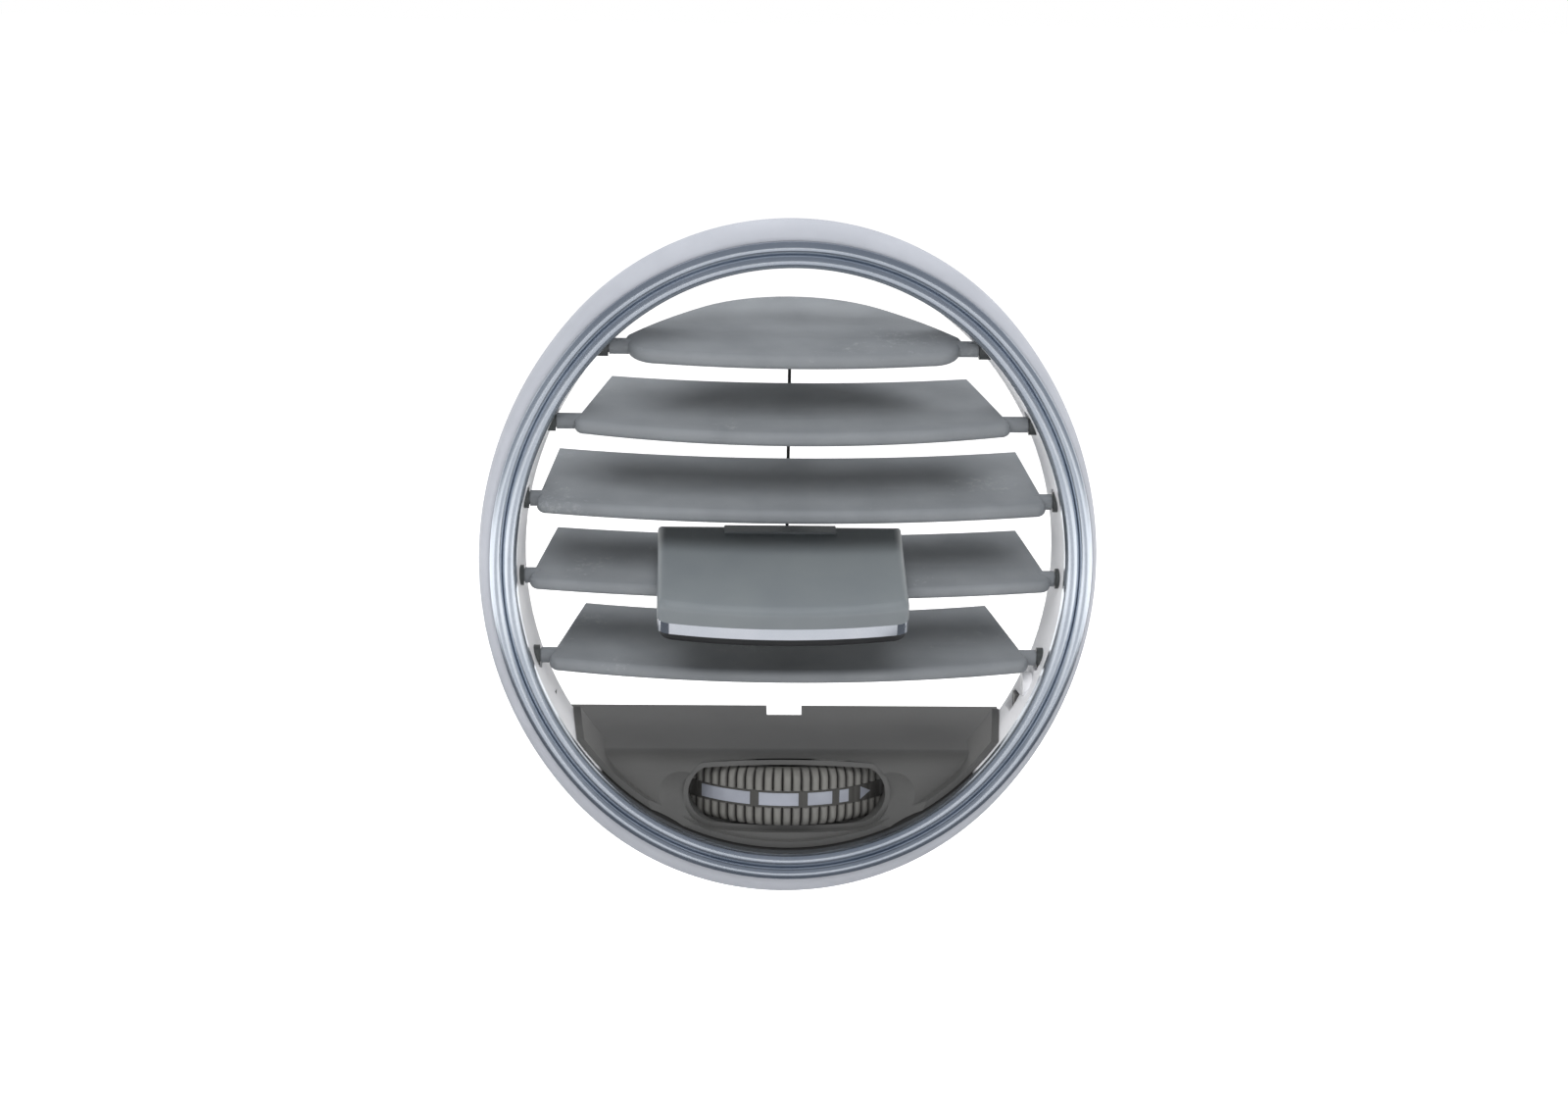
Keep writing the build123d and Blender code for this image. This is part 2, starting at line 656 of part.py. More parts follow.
# Knob trim: bright strip round the front of the knob
with BuildPart() as knob_trim:
    with BuildSketch(driver_plane.offset(TRIM_BOTTOM)) as trim_plan:
        knob_plan(0)
        fillet(trim_plan.vertices().group_by(Axis.Y)[0], radius=KNOB_CORNER_R)
    extrude(amount=TRIM_TOP - TRIM_BOTTOM)
    with BuildSketch(driver_plane.offset(TRIM_BOTTOM)) as trim_hole:
        knob_plan(TRIM_T)
        fillet(trim_hole.vertices().group_by(Axis.Y)[0], radius=KNOB_CORNER_R - TRIM_T)
    extrude(amount=TRIM_TOP - TRIM_BOTTOM, mode=Mode.SUBTRACT)
    with BuildSketch(driver_plane.offset(TRIM_BOTTOM)):
        with Locations((KNOB_X, TRIM_REAR + KNOB_HALF)):
            Rectangle(2 * KNOB_HALF + 2, 2 * KNOB_HALF)
    extrude(amount=TRIM_TOP - TRIM_BOTTOM, mode=Mode.SUBTRACT)
knob_trim.part.label = "knob_trim"
export_step(knob_trim.part, "parts/knob_trim.step")

# Knob base: lower lip, front block behind the trim, fork for the cross vanes' lever
with BuildPart() as knob_base:
    with BuildSketch(driver_plane.offset(BASE_BOTTOM)) as base_plan:
        knob_plan(BASE_INSET)
        fillet(base_plan.vertices().group_by(Axis.Y)[0], radius=KNOB_CORNER_R)
    extrude(amount=TRIM_BOTTOM - BASE_BOTTOM)
    with BuildSketch(driver_plane.offset(TRIM_BOTTOM)) as block_plan:
        knob_plan(TRIM_T)
        fillet(block_plan.vertices().group_by(Axis.Y)[0], radius=KNOB_CORNER_R - TRIM_T)
    extrude(amount=TRIM_TOP - TRIM_BOTTOM)
    with BuildSketch(vane_side(driver_z)):
        with Locations(((SLOT_FRONT + KNOB_REAR + 1) / 2, (BASE_TOP + TRIM_TOP + 2) / 2)):
            Rectangle(KNOB_REAR + 1 - SLOT_FRONT, TRIM_TOP + 2 - BASE_TOP)
    extrude(amount=THROUGH, both=True, mode=Mode.SUBTRACT)
    foot_face = knob_base.faces().sort_by(lambda face: driver_plane.to_local_coords(face.center()).Z)[0]
    foot_edges = foot_face.edges().filter_by(
        lambda edge: driver_plane.to_local_coords(edge.center()).Y < KNOB_CORNER + 4
    )
    fillet(foot_edges, radius=BASE_ROUND)
    with BuildSketch(driver_plane.offset(BASE_TOP)):
        with Locations((KNOB_X - RIB_X, RIB_MID), (KNOB_X + RIB_X, RIB_MID)):
            Rectangle(RIB_T, RIB_LEN)
    extrude(amount=-VANE_T / 2 - RUN_FIT - BASE_TOP)
    with BuildSketch(driver_plane.offset(BASE_BOTTOM)):
        with Locations((KNOB_X - FORK_X, FORK_Y), (KNOB_X + FORK_X, FORK_Y)):
            Rectangle(FORK_W, FORK_LEN)
    extrude(amount=BASE_TOP - BASE_BOTTOM - 2 * RUN_FIT)
knob_base.part.label = "knob_base"
export_step(knob_base.part, "parts/knob_base.step")

# Friction pad between the knob and its vane
with BuildPart() as knob_pad:
    with BuildSketch(driver_plane.offset(VANE_T / 2 + PAD_GAP)):
        with Locations((KNOB_X, RIB_MID)):
            Rectangle(PAD_LONG, PAD_WIDE)
    extrude(amount=PAD_TOP - VANE_T / 2 - PAD_GAP)
knob_pad.part.label = "knob_pad"
export_step(knob_pad.part, "parts/knob_pad.step")

# Room for the lower panel: inside the skirt, and free behind it
with BuildPart() as panel_room:
    with BuildSketch(facing(LEDGE_FRONT)):
        inner_oval(SKIRT_IN_FRONT - PANEL_GAP)
    with BuildSketch(facing(SKIRT_BACK + PANEL_GAP)):
        inner_oval(SKIRT_IN_BACK - PANEL_GAP)
    loft(ruled=True)
    with BuildSketch(facing(PANEL_TOP[0] + 1)):
        with Locations((0, PANEL_KNEE[1])):
            Rectangle(2 * PANEL_HALF, THROUGH)
    extrude(amount=PANEL_TOP[0] + 1 - SKIRT_BACK - PANEL_GAP)

# Lining ring of the panel, cut later to its lower arc
with BuildPart() as panel_lining:
    with BuildSketch(facing(LEDGE_FRONT)):
        inner_oval(SKIRT_IN_FRONT - PANEL_GAP)
    with BuildSketch(facing(SKIRT_BACK + PANEL_GAP)):
        inner_oval(SKIRT_IN_BACK - PANEL_GAP)
    loft(ruled=True)
    with BuildSketch(facing(LEDGE_FRONT)):
        inner_oval(SKIRT_IN_FRONT - PANEL_GAP - LINING_T)
    with BuildSketch(facing(SKIRT_BACK + PANEL_GAP)):
        inner_oval(SKIRT_IN_BACK - PANEL_GAP - LINING_T)
    loft(ruled=True, mode=Mode.SUBTRACT)
    with BuildSketch(Plane.YZ):
        with BuildLine():
            Polyline(
                (LINING_FRONT, PANEL_TOP[1] + LINING_UP_FRONT),
                (LINING_FRONT, PANEL_TOP[1] - THROUGH),
                (SKIRT_BACK, PANEL_TOP[1] - THROUGH),
                (SKIRT_BACK, PANEL_TOP[1] + LINING_UP_BACK),
                close=True,
            )
        make_face()
    extrude(amount=THROUGH, both=True, mode=Mode.INTERSECT)

# Lower panel: face that leans back to a shelf, side lining, hooks, wheel slot, notch
hook_out = half_width(SKIRT_OUT_FRONT, WINDOW_Z) + HOOK_REACH
hook_low = WINDOW_Z - WINDOW_H / 2 + HOOK_GAP
hook_high = WINDOW_Z + WINDOW_H / 2 - HOOK_GAP
hook_front = WINDOW_Y - WINDOW_W / 2 + HOOK_GAP
arm_front = SKIRT_BACK + HOOK_GAP
with BuildPart() as lower_panel:
    with BuildSketch(Plane.YZ) as panel_side:
        with BuildLine():
            Polyline(
                PANEL_FOOT,
                PANEL_KNEE,
                PANEL_TOP,
                (PANEL_TOP[0], PANEL_TOP[1] - PANEL_T),
                (PANEL_KNEE[0] + PANEL_T, PANEL_KNEE[1] - PANEL_T),
                (PANEL_FOOT[0] + PANEL_T, PANEL_FOOT[1]),
                close=True,
            )
        make_face()
        knee = panel_side.vertices().sort_by_distance((PANEL_KNEE[0], PANEL_KNEE[1], 0))[0]
        fillet(knee, radius=KNEE_R)
        inner_knee = (PANEL_KNEE[0] + PANEL_T, PANEL_KNEE[1] - PANEL_T, 0)
        fillet(panel_side.vertices().sort_by_distance(inner_knee)[0], radius=KNEE_R - PANEL_T)
    extrude(amount=PANEL_HALF, both=True)
    add(panel_room.part, mode=Mode.INTERSECT)
    add(panel_lining.part)
    for side, floor in ((1, window_in), (-1, pocket_floor)):
        hook_in = floor + HOOK_REACH
        with BuildSketch(Plane.YZ.offset(side * hook_in)):
            with Locations((WINDOW_Y, WINDOW_Z)):
                Rectangle(WINDOW_W - 2 * HOOK_GAP, WINDOW_H - 2 * HOOK_GAP)
        extrude(amount=side * (hook_out - hook_in))
        with BuildSketch(Plane.YZ.offset(side * hook_out)):
            with BuildLine():
                Polyline(
                    (hook_front, hook_high),
                    (HOOK_BACK, hook_high),
                    (HOOK_BACK, HOOK_FOOT),
                    (arm_front, HOOK_FOOT),
                    (arm_front, hook_low),
                    (hook_front, hook_low),
                    close=True,
                )
            make_face()
        extrude(amount=side * HOOK_T)
        with BuildSketch(Plane.YZ.offset(side * (PANEL_HALF - ARM_SUNK))):
            with Locations(((arm_front + HOOK_BACK) / 2, HOOK_FOOT + ARM_H / 2)):
                Rectangle(HOOK_BACK - arm_front, ARM_H)
        extrude(amount=side * (hook_out + HOOK_T - PANEL_HALF + ARM_SUNK))
    with BuildSketch(Plane.XZ.offset(-CURTAIN_Y)):
        with Locations((0, (PANEL_KNEE[1] + WHEEL_TOP) / 2)):
            Rectangle(2 * CURTAIN_HALF, PANEL_KNEE[1] - WHEEL_TOP)
    extrude(amount=-CURTAIN_T)
    with BuildSketch(facing(-3)):
        corner = (SLOT_TOP[0], WHEEL_TOP + SLOT_TOP[1])
        crest = (0, WHEEL_TOP + SLOT_TOP[2])
        flank = (SLOT_SIDE[0], WHEEL_TOP + SLOT_SIDE[1])
        foot = (SLOT_FOOT[0], WHEEL_TOP + SLOT_FOOT[1])
        bottom = (0, WHEEL_TOP + SLOT_FOOT[2])
        with BuildLine():
            ThreePointArc((-corner[0], corner[1]), crest, corner)
            ThreePointArc(corner, flank, foot)
            ThreePointArc(foot, bottom, (-foot[0], foot[1]))
            ThreePointArc((-foot[0], foot[1]), (-flank[0], flank[1]), (-corner[0], corner[1]))
        make_face()
    extrude(amount=-3 - SLOT_DEEP, mode=Mode.SUBTRACT)
    scoop_z = WHEEL_TOP - SCOOP_DOWN
    with Locations((-SCOOP_X, SCOOP_Y, scoop_z), (SCOOP_X, SCOOP_Y, scoop_z)):
        Sphere(SCOOP_R, mode=Mode.SUBTRACT)
    with BuildSketch(Plane.XY.offset(PANEL_TOP[1] - 2 * PANEL_T)):
        with Locations((0, PANEL_TOP[0])):
            Rectangle(2 * NOTCH_HALF, 2 * NOTCH_DEEP)
    extrude(amount=3 * PANEL_T, mode=Mode.SUBTRACT)
    with BuildSketch(Plane.XY.offset(WHEEL_BOTTOM - WHEEL_ROOM)):
        with Locations((0, WHEEL_Y)):
            Circle(WHEEL_R + WHEEL_ROOM)
    extrude(amount=WHEEL_TOP - WHEEL_BOTTOM + WHEEL_ROOM + WHEEL_ROOM_TOP, mode=Mode.SUBTRACT)
lower_panel.part.label = "lower_panel"
export_step(lower_panel.part, "parts/lower_panel.step")


def ring_point(radius, angle):
    """Point of the wheel's plan at an angle from straight ahead, positive to the right."""
    turn = math.radians(angle)
    return (radius * math.sin(turn), WHEEL_Y - radius * math.cos(turn))


def mark_face(start, end, low, high):
    """Sector of a ring between two angles in the current sketch."""
    middle = (start + end) / 2
    with BuildLine() as outline:
        ThreePointArc(ring_point(high, start), ring_point(high, middle), ring_point(high, end))
        Line(ring_point(high, end), ring_point(low, end))
        ThreePointArc(ring_point(low, end), ring_point(low, middle), ring_point(low, start))
        Line(ring_point(low, start), ring_point(high, start))
    make_face(outline.edges())


# Flow marks: four blocks and an arrow let into the wheel's band
band_mid = (BAND_TOP + BAND_BOTTOM) / 2
with BuildPart() as flow_marks:
    with BuildSketch(Plane.XY.offset(band_mid - MARK_HALF)):
        for start, end in MARK_ARCS:
            mark_face(start, end, BAND_R - MARK_DEEP, BAND_R + MARK_PROUD)
    extrude(amount=2 * MARK_HALF)
    arrow_mid = math.radians(sum(ARROW_ARC) / 2)
    arrow_half = BAND_R * math.sin(math.radians((ARROW_ARC[1] - ARROW_ARC[0]) / 2))
    arrow_plane = Plane(
        origin=(0, WHEEL_Y, band_mid),
        x_dir=(math.cos(arrow_mid), math.sin(arrow_mid), 0),
        z_dir=(math.sin(arrow_mid), -math.cos(arrow_mid), 0),
    )
    with BuildSketch(arrow_plane.offset(BAND_R - MARK_DEEP)):
        with BuildLine():
            Polyline((-arrow_half, -MARK_HALF), (arrow_half, 0), (-arrow_half, MARK_HALF), close=True)
        make_face()
    extrude(amount=MARK_DEEP + MARK_PROUD)
flow_marks.part.label = "flow_marks"
export_step(flow_marks.part, "parts/flow_marks.step")


def ribbed_face():
    """Wheel section with its finger ribs in the current sketch."""
    step = 360 / RIB_COUNT
    points = []
    for rib in range(RIB_COUNT):
        angle = rib * step
        points.append(ring_point(WHEEL_R - RIB_DEEP, angle - RIB_FOOT_SHARE * step))
        points.append(ring_point(WHEEL_R, angle - RIB_TOP_SHARE * step))
        points.append(ring_point(WHEEL_R, angle + RIB_TOP_SHARE * step))
        points.append(ring_point(WHEEL_R - RIB_DEEP, angle + RIB_FOOT_SHARE * step))
    with BuildLine() as outline:
        Polyline(*points, close=True)
    make_face(outline.edges())


# Flow wheel: ribbed rim, plain band, thin web, hub
with BuildPart() as thumbwheel:
    with BuildSketch(Plane.XY.offset(WHEEL_BOTTOM)):
        ribbed_face()
    extrude(amount=BAND_BOTTOM - WHEEL_BOTTOM)
    with BuildSketch(Plane.XY.offset(BAND_TOP)):
        ribbed_face()
    extrude(amount=WHEEL_TOP - BAND_TOP)
    for height, way in ((WHEEL_TOP, 1), (WHEEL_BOTTOM, -1)):
        with BuildSketch(Plane.XZ.offset(-WHEEL_Y)):
            with BuildLine():
                Polyline(
                    (WHEEL_R + 1, height + way),
                    (WHEEL_R + 1, height - way * (WHEEL_SHOULDER + 1)),
                    (WHEEL_R - WHEEL_SHOULDER - 1, height + way),
                    close=True,
                )
            make_face()
        revolve(axis=Axis((0, WHEEL_Y, 0), (0, 0, 1)), mode=Mode.SUBTRACT)
    with BuildSketch(Plane.XY.offset(BAND_BOTTOM)):
        with Locations((0, WHEEL_Y)):
            Circle(BAND_R)
    extrude(amount=BAND_TOP - BAND_BOTTOM)
    with BuildSketch(Plane.XY.offset(WHEEL_BOTTOM)):
        with Locations((0, WHEEL_Y + WHEEL_CHORD + WHEEL_R / 2)):
            Rectangle(2 * WHEEL_R, WHEEL_R)
    extrude(amount=WHEEL_TOP - WHEEL_BOTTOM, mode=Mode.SUBTRACT)
    for start, end in ((WEB_TOP, WHEEL_TOP), (WEB_BOTTOM, WHEEL_BOTTOM)):
        with BuildSketch(Plane.XY.offset(start)):
            with Locations((0, WHEEL_Y)):
                Circle(RIM_INNER_R)
        extrude(amount=end - start, mode=Mode.SUBTRACT)
    with BuildSketch(Plane.XY.offset(WHEEL_BOTTOM)):
        with Locations((0, WHEEL_Y)):
            Circle(HUB_R)
    extrude(amount=HUB_TOP - WHEEL_BOTTOM)
    with BuildSketch(Plane.XY.offset(WHEEL_BOTTOM)):
        with Locations((0, WHEEL_Y)):
            Circle(AXLE_R + AXLE_FIT)
    extrude(amount=HUB_TOP - WHEEL_BOTTOM, mode=Mode.SUBTRACT)
    add(flow_marks.part, mode=Mode.SUBTRACT)
thumbwheel.part.label = "thumbwheel"
export_step(thumbwheel.part, "parts/thumbwheel.step")

# Crank on the wheel's hub: its pin takes the rod of the flow flap
crank_long = math.hypot(CRANK_X, CRANK_Y)
crank_side = (CRANK_ARM * CRANK_Y / crank_long, -CRANK_ARM * CRANK_X / crank_long)
with BuildPart() as damper_crank:
    with BuildSketch(Plane.XY.offset(HUB_TOP)):
        with Locations((0, WHEEL_Y)):
            Circle(HUB_R)
        with Locations((CRANK_X, WHEEL_Y + CRANK_Y)):
            Circle(CRANK_ARM)
        with BuildLine():
            Polyline(
                (-crank_side[0], WHEEL_Y - crank_side[1]),
                (crank_side[0], WHEEL_Y + crank_side[1]),
                (CRANK_X + crank_side[0], WHEEL_Y + CRANK_Y + crank_side[1]),
                (CRANK_X - crank_side[0], WHEEL_Y + CRANK_Y - crank_side[1]),
                close=True,
            )
        make_face()
        with Locations((0, WHEEL_Y)):
            Circle(AXLE_R + AXLE_FIT, mode=Mode.SUBTRACT)
    extrude(amount=CRANK_TOP - HUB_TOP)
    with BuildSketch(Plane.XY.offset(CRANK_TOP)):
        with Locations((CRANK_X, WHEEL_Y + CRANK_Y)):
            Circle(CRANK_PIN_R)
    extrude(amount=CRANK_PIN_TOP - CRANK_TOP)
damper_crank.part.label = "damper_crank"
export_step(damper_crank.part, "parts/damper_crank.step")

# Wheel bracket: plate on the carrier's tab with a raised seat for the hub
with BuildPart() as wheel_bracket:
    with BuildSketch(Plane.XY.offset(PLATE_BOTTOM)):
        with Locations((0, (SKIRT_BACK + 1 + WHEEL_Y) / 2)):
            Rectangle(2 * PLATE_HALF, WHEEL_Y - SKIRT_BACK - 1)
        with Locations((0, WHEEL_Y)):
            Circle(PLATE_HALF)
    extrude(amount=PLATE_TOP - PLATE_BOTTOM)
    with BuildSketch(Plane.XY.offset(PLATE_TOP)):
        with Locations((0, WHEEL_Y)):
            Circle(HUB_R)
    extrude(amount=WHEEL_BOTTOM - PLATE_TOP - RUN_FIT)
    with BuildSketch(Plane.XY.offset(PLATE_BOTTOM)):
        with Locations((0, WHEEL_Y)):
            Circle(AXLE_R)
    extrude(amount=WHEEL_BOTTOM - PLATE_BOTTOM, mode=Mode.SUBTRACT)
    with BuildSketch(Plane.XY.offset(PLATE_BOTTOM)):
        with Locations((-SCREW_X, SCREW_Y), (SCREW_X, SCREW_Y)):
            Circle(SCREW_R)
    extrude(amount=PLATE_TOP - PLATE_BOTTOM - SCREW_TIP, mode=Mode.SUBTRACT)
wheel_bracket.part.label = "wheel_bracket"
export_step(wheel_bracket.part, "parts/wheel_bracket.step")

# Axle of the wheel: pressed into the bracket from below
with BuildPart() as wheel_axle:
    with BuildSketch(Plane.XY.offset(PLATE_BOTTOM)):
        with Locations((0, WHEEL_Y)):
            Circle(AXLE_R)
    extrude(amount=CRANK_TOP + CLIP_GAP + CLIP_T + AXLE_OVER - PLATE_BOTTOM)
    with BuildSketch(Plane.XY.offset(PLATE_BOTTOM)):
        with Locations((0, WHEEL_Y)):
            Circle(AXLE_HEAD_R)
    extrude(amount=-AXLE_HEAD_T)
wheel_axle.part.label = "wheel_axle"
export_step(wheel_axle.part, "parts/wheel_axle.step")

# Push-on clip that holds the wheel on its axle
with BuildPart() as axle_clip:
    with BuildSketch(Plane.XY.offset(CRANK_TOP + CLIP_GAP)):
        with Locations((0, WHEEL_Y)):
            Circle(CLIP_R)
            Circle(AXLE_R, mode=Mode.SUBTRACT)
    extrude(amount=CLIP_T)
axle_clip.part.label = "axle_clip"
export_step(axle_clip.part, "parts/axle_clip.step")

# Two screws that hold the bracket on the carrier's tab
with BuildPart() as bracket_screws:
    with BuildSketch(Plane.XY.offset(TAB_BOTTOM)):
        with Locations((-SCREW_X, SCREW_Y), (SCREW_X, SCREW_Y)):
            Circle(SCREW_R)
    extrude(amount=PLATE_TOP - TAB_BOTTOM - SCREW_TIP)
    with BuildSketch(Plane.XY.offset(TAB_BOTTOM)):
        with Locations((-SCREW_X, SCREW_Y), (SCREW_X, SCREW_Y)):
            Circle(SCREW_HEAD_R)
    extrude(amount=-SCREW_HEAD_T)
    with BuildSketch(Plane.XY.offset(TAB_BOTTOM - SCREW_HEAD_T)):
        with Locations((-SCREW_X, SCREW_Y), (SCREW_X, SCREW_Y)):
            RegularPolygon(HEX_R, 6)
    extrude(amount=HEX_DEEP, mode=Mode.SUBTRACT)
bracket_screws.part.label = "bracket_screws"
export_step(bracket_screws.part, "parts/bracket_screws.step")
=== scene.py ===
"""Looks for the dashboard air vent: materials, fine pieces, stage, light and camera round the CAD part."""
import json
import math

import bmesh
import bpy
from mathutils import Matrix, Vector


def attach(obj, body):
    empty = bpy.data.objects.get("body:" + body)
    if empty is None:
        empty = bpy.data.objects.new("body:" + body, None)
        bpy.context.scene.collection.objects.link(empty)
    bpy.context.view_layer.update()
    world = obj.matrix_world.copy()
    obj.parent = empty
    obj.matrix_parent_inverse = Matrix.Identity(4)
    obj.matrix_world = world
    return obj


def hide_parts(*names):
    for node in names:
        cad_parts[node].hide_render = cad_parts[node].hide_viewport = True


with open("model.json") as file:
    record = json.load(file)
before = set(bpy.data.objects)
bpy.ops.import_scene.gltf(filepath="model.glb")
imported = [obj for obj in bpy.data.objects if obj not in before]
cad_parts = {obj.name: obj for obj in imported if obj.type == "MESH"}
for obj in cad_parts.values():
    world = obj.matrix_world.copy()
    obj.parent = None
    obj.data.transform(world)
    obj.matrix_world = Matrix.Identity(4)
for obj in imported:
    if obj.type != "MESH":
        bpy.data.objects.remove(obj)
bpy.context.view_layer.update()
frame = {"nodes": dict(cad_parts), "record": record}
nodes = frame["nodes"]
MM = 0.001

# Sizes are in mm and repeat the CAD source, apart from the vanes' plans and the steps of the fine pieces.
# Opening, ring and band: a section is (half width, half height, shift to the right, depth)
OVAL_SHAPE = 0.62
GROWTH = 5.2
OVAL_STEPS = 288
LEDGE_FRONT = -2.6
RING_OUT = 58.6
RING_EDGE = -3.9
OUTER_BEAD = [(58.6, -4.4), (57.612, -6.0), (56.208, -4.7)]
INNER_BEAD = [(56.208, -4.7), (54.804, -5.7), (53.4, -4.1)]
BEAD_STEPS = 14
BAND_FOOT = (60.4, 67.6, -0.5, 0.0)
BAND_REAR = (60.4, 67.6, -0.5, -1.2)
BAND_MIDDLE = (60.0, 66.3, -0.4, -3.2)
BAND_FRONT = (59.0, 64.2, -0.1, -4.4)
BAND_STEPS = 12
BAND_INSIDE = [
    (58.65, 63.85, 0.0, -4.4),
    (58.65, 63.85, 0.0, -2.6),
    (56.4, 61.6, 0.0, -2.6),
    (56.4, 61.6, 0.0, -1.4),
    (58.8, 65.8, 0.0, -1.4),
    (58.8, 65.8, 0.0, 0.0),
]

# Skirt: half way through its wall, and where its paint ends: below that, inside, it is bare plastic made near
# black as painted shade under the panel
SKIRT_MIDDLE = (53.9, 59.1)
PAINTED_SHADE_BELOW = -42.0
PAINTED_SHADE_FADE = 0.5

# Vanes: u runs along the vane, v to the rear, w up from it
PIVOT_Y = 2.0
TILT = math.radians(12.0)
VANE_T = 2.6
VANE_REAR_T = 1.1
TAPER_FROM = 2.0
TAPER_TO = 21.0
RIM_FLAT = 0.25
RIM_STEPS = 6
FRONT_STEPS = 28
CORNER_STEPS = 8
REAR_STEPS = 16
PIN_R = 1.25
PIN_SUNK = 4.0
PIN_SIDES = 32
ROOT_R = 1.55
ROOT_GAP = 0.5
ROOT_SUNK = 2.0
LINK_U = 21.4
LINK_V = -3.0
LINK_PIN_R = 0.9
LINK_PIN_SUNK = 0.2
LUG_SIDE = 0.35
LUG_T = 2.0
LUG_SHAPE = [(-7.4, 3.1), (-7.4, 2.2), (-0.9, -1.4), (1.1, -1.2), (1.5, 0.2), (0.6, 1.3), (-4.4, 3.1)]
HEAD_R = 1.25
HEAD_T = 0.5
# Rear edge of each vane, as the points of its arcs from the right end to the left
LENS_REAR = [(32.6, 1.0), (25.4, 10.7), (17.0, 19.4), (0, 25.8), (-17.0, 19.4), (-25.4, 10.7), (-32.6, 1.0)]
REAR_2 = [(35.6, 21.0), (0, 17.8), (-35.6, 21.0)]
REAR_3 = [(46.1, 22.5), (0, 18.0), (-46.1, 22.5)]
REAR_4 = [(46.4, 20.9), (0, 17.4), (-46.4, 20.9)]
REAR_5 = [(40.8, 21.4), (0, 17.4), (-40.8, 21.4)]
# For each vane: height, thickness, half width, corner radius, front edge at the corners and in the middle,
# rear edge, how far back its rims are rounded, boss face, pin end
FINE_VANES = {
    1: (42.2, 3.0, 32.2, 6.0, 6.2, 8.3, LENS_REAR, 0.5, 36.159, 39.759),
    2: (27.4, 3.0, 42.3, 2.0, 3.9, 9.0, REAR_2, 15.8, 46.277, 49.877),
    3: (12.0, 3.0, 49.6, 2.0, 4.8, 8.8, REAR_3, 16.0, 51.458, 55.058),
    4: (-3.5, 2.6, 51.0, 2.0, 4.5, 8.2, REAR_4, 15.4, 52.526, 57.376),
    5: (-19.7, 3.0, 47.2, 2.0, 4.8, 9.4, REAR_5, 15.4, 49.428, 53.028),
}

# Flow wheel
WHEEL_Y = 24.5
WHEEL_R = 26.0
WHEEL_TOP = -42.6
WHEEL_BOTTOM = -54.4
WHEEL_CHORD = 11.0
PLAIN_TOP = -46.8
PLAIN_BOTTOM = -50.2
PLAIN_R = 25.6
PLAIN_LIP = 0.2
# How far the plain band is darkened, on the same scale as the painted shade in the grooves
PLAIN_DARKENING = 0.75
WEB_TOP = -47.3
WEB_BOTTOM = -49.7
HUB_TOP = -47.0
HUB_R = 7.0
BORE_R = 3.05
RIM_INNER_R = 22.4
RIM_SKIN = 0.1
SHOULDER = 2.2
SHOULDER_STEPS = 8
RIB_COUNT = 84
RIB_DEEP = 0.9
RIB_STEPS = 8
RIB_SHARE = 0.42
RIB_START = 0.25
TOUCH = 0.01

# Slot of the wheel and the collar behind it
SLOT_TOP = (17.0, 1.0, 1.7)
SLOT_SIDE = (20.2, -2.6)
SLOT_FOOT = (15.0, -12.3, -13.0)
LONG_STEPS = 20
END_STEPS = 16
COLLAR_FRONT = 1.0
COLLAR_BACK = 6.5
COLLAR_LEAST = 0.1
COLLAR_GAP = 0.7
COLLAR_T = 1.0

# Angles, in degrees, past which an edge stays sharp
CAD_CREASE = 28
BEAD_CREASE = 50
BAND_CREASE = 32
WHEEL_CREASE = 40

# Studio, in metres. Cards: name, width and height, centre, the point it faces, colour, strength
CARDS = [
    ("card_above", (3.4, 3.4), (0, -0.2, 1.1), (0, -0.2, 0), "8a8f98", 1.0),
    ("card_front", (3.4, 1.1), (0, -1.7, 0.57), (0, 0, 0.57), "8a8f98", 1.0),
    ("card_left", (2.6, 1.1), (-1.7, -0.5, 0.57), (0, -0.5, 0.57), "9aa0a8", 1.0),
    ("card_right", (2.6, 1.1), (1.7, -0.5, 0.57), (0, -0.5, 0.57), "9aa0a8", 1.0),
    ("card_ring", (3.4, 3.0), (0, -0.2, -0.195), (0, -0.2, 0), "ffffff", 1.7),
    ("card_fore", (0.7, 1.3), (0, -0.87, -0.193), (0, -0.87, 0), "dcdee3", 1.0),
    ("card_near", (0.84, 0.62), (0, 0.09, -0.19), (0, 0.09, 0), "5c6169", 1.0),
]
# Lamps: name, centre, width and height, watts
LAMPS = [
    ("key_front", (-0.1, -0.7, 0.85), (1.0, 0.7), 8.5),
    ("top_back", (0.1, 0.3, 0.95), (0.9, 0.5), 6.0),
    ("side_left", (-0.9, -0.3, 0.2), (0.5, 0.9), 2.6),
    ("side_right", (0.9, -0.3, 0.2), (0.5, 0.9), 2.6),
]
FLOOR_SIZE = 8.0
FLOOR_Z = -0.2
# Added to the floor where it is seen, so that it is white there; the light and shadow on it stay
FLOOR_LIFT = 0.7
# Light of the surroundings on surfaces; where they are seen they have strength 1
WORLD_LIGHT = 0.35

# Camera at the photograph's angle: slightly left of centre, 14 degrees above, a touch of roll
DISTANCE = 0.62
AZIMUTH, ELEVATION, ROLL = (math.radians(v) for v in (-2.2, 14.0, 0.95))
AIM = Vector((0, -0.003, 0))
PHOTO_WIDTH = 1600
PIXELS_PER_MM = 5.233
SHIFT_RIGHT = -7.5
SHIFT_UP = 15.5
SENSOR = 36.0


def srgb(code):
    """Linear colour of a hex sRGB code."""
    out = []
    for i in (0, 2, 4):
        c = int(code[i : i + 2], 16) / 255
        out.append(c / 12.92 if c <= 0.04045 else ((c + 0.055) / 1.055) ** 2.4)
    return (*out, 1.0)


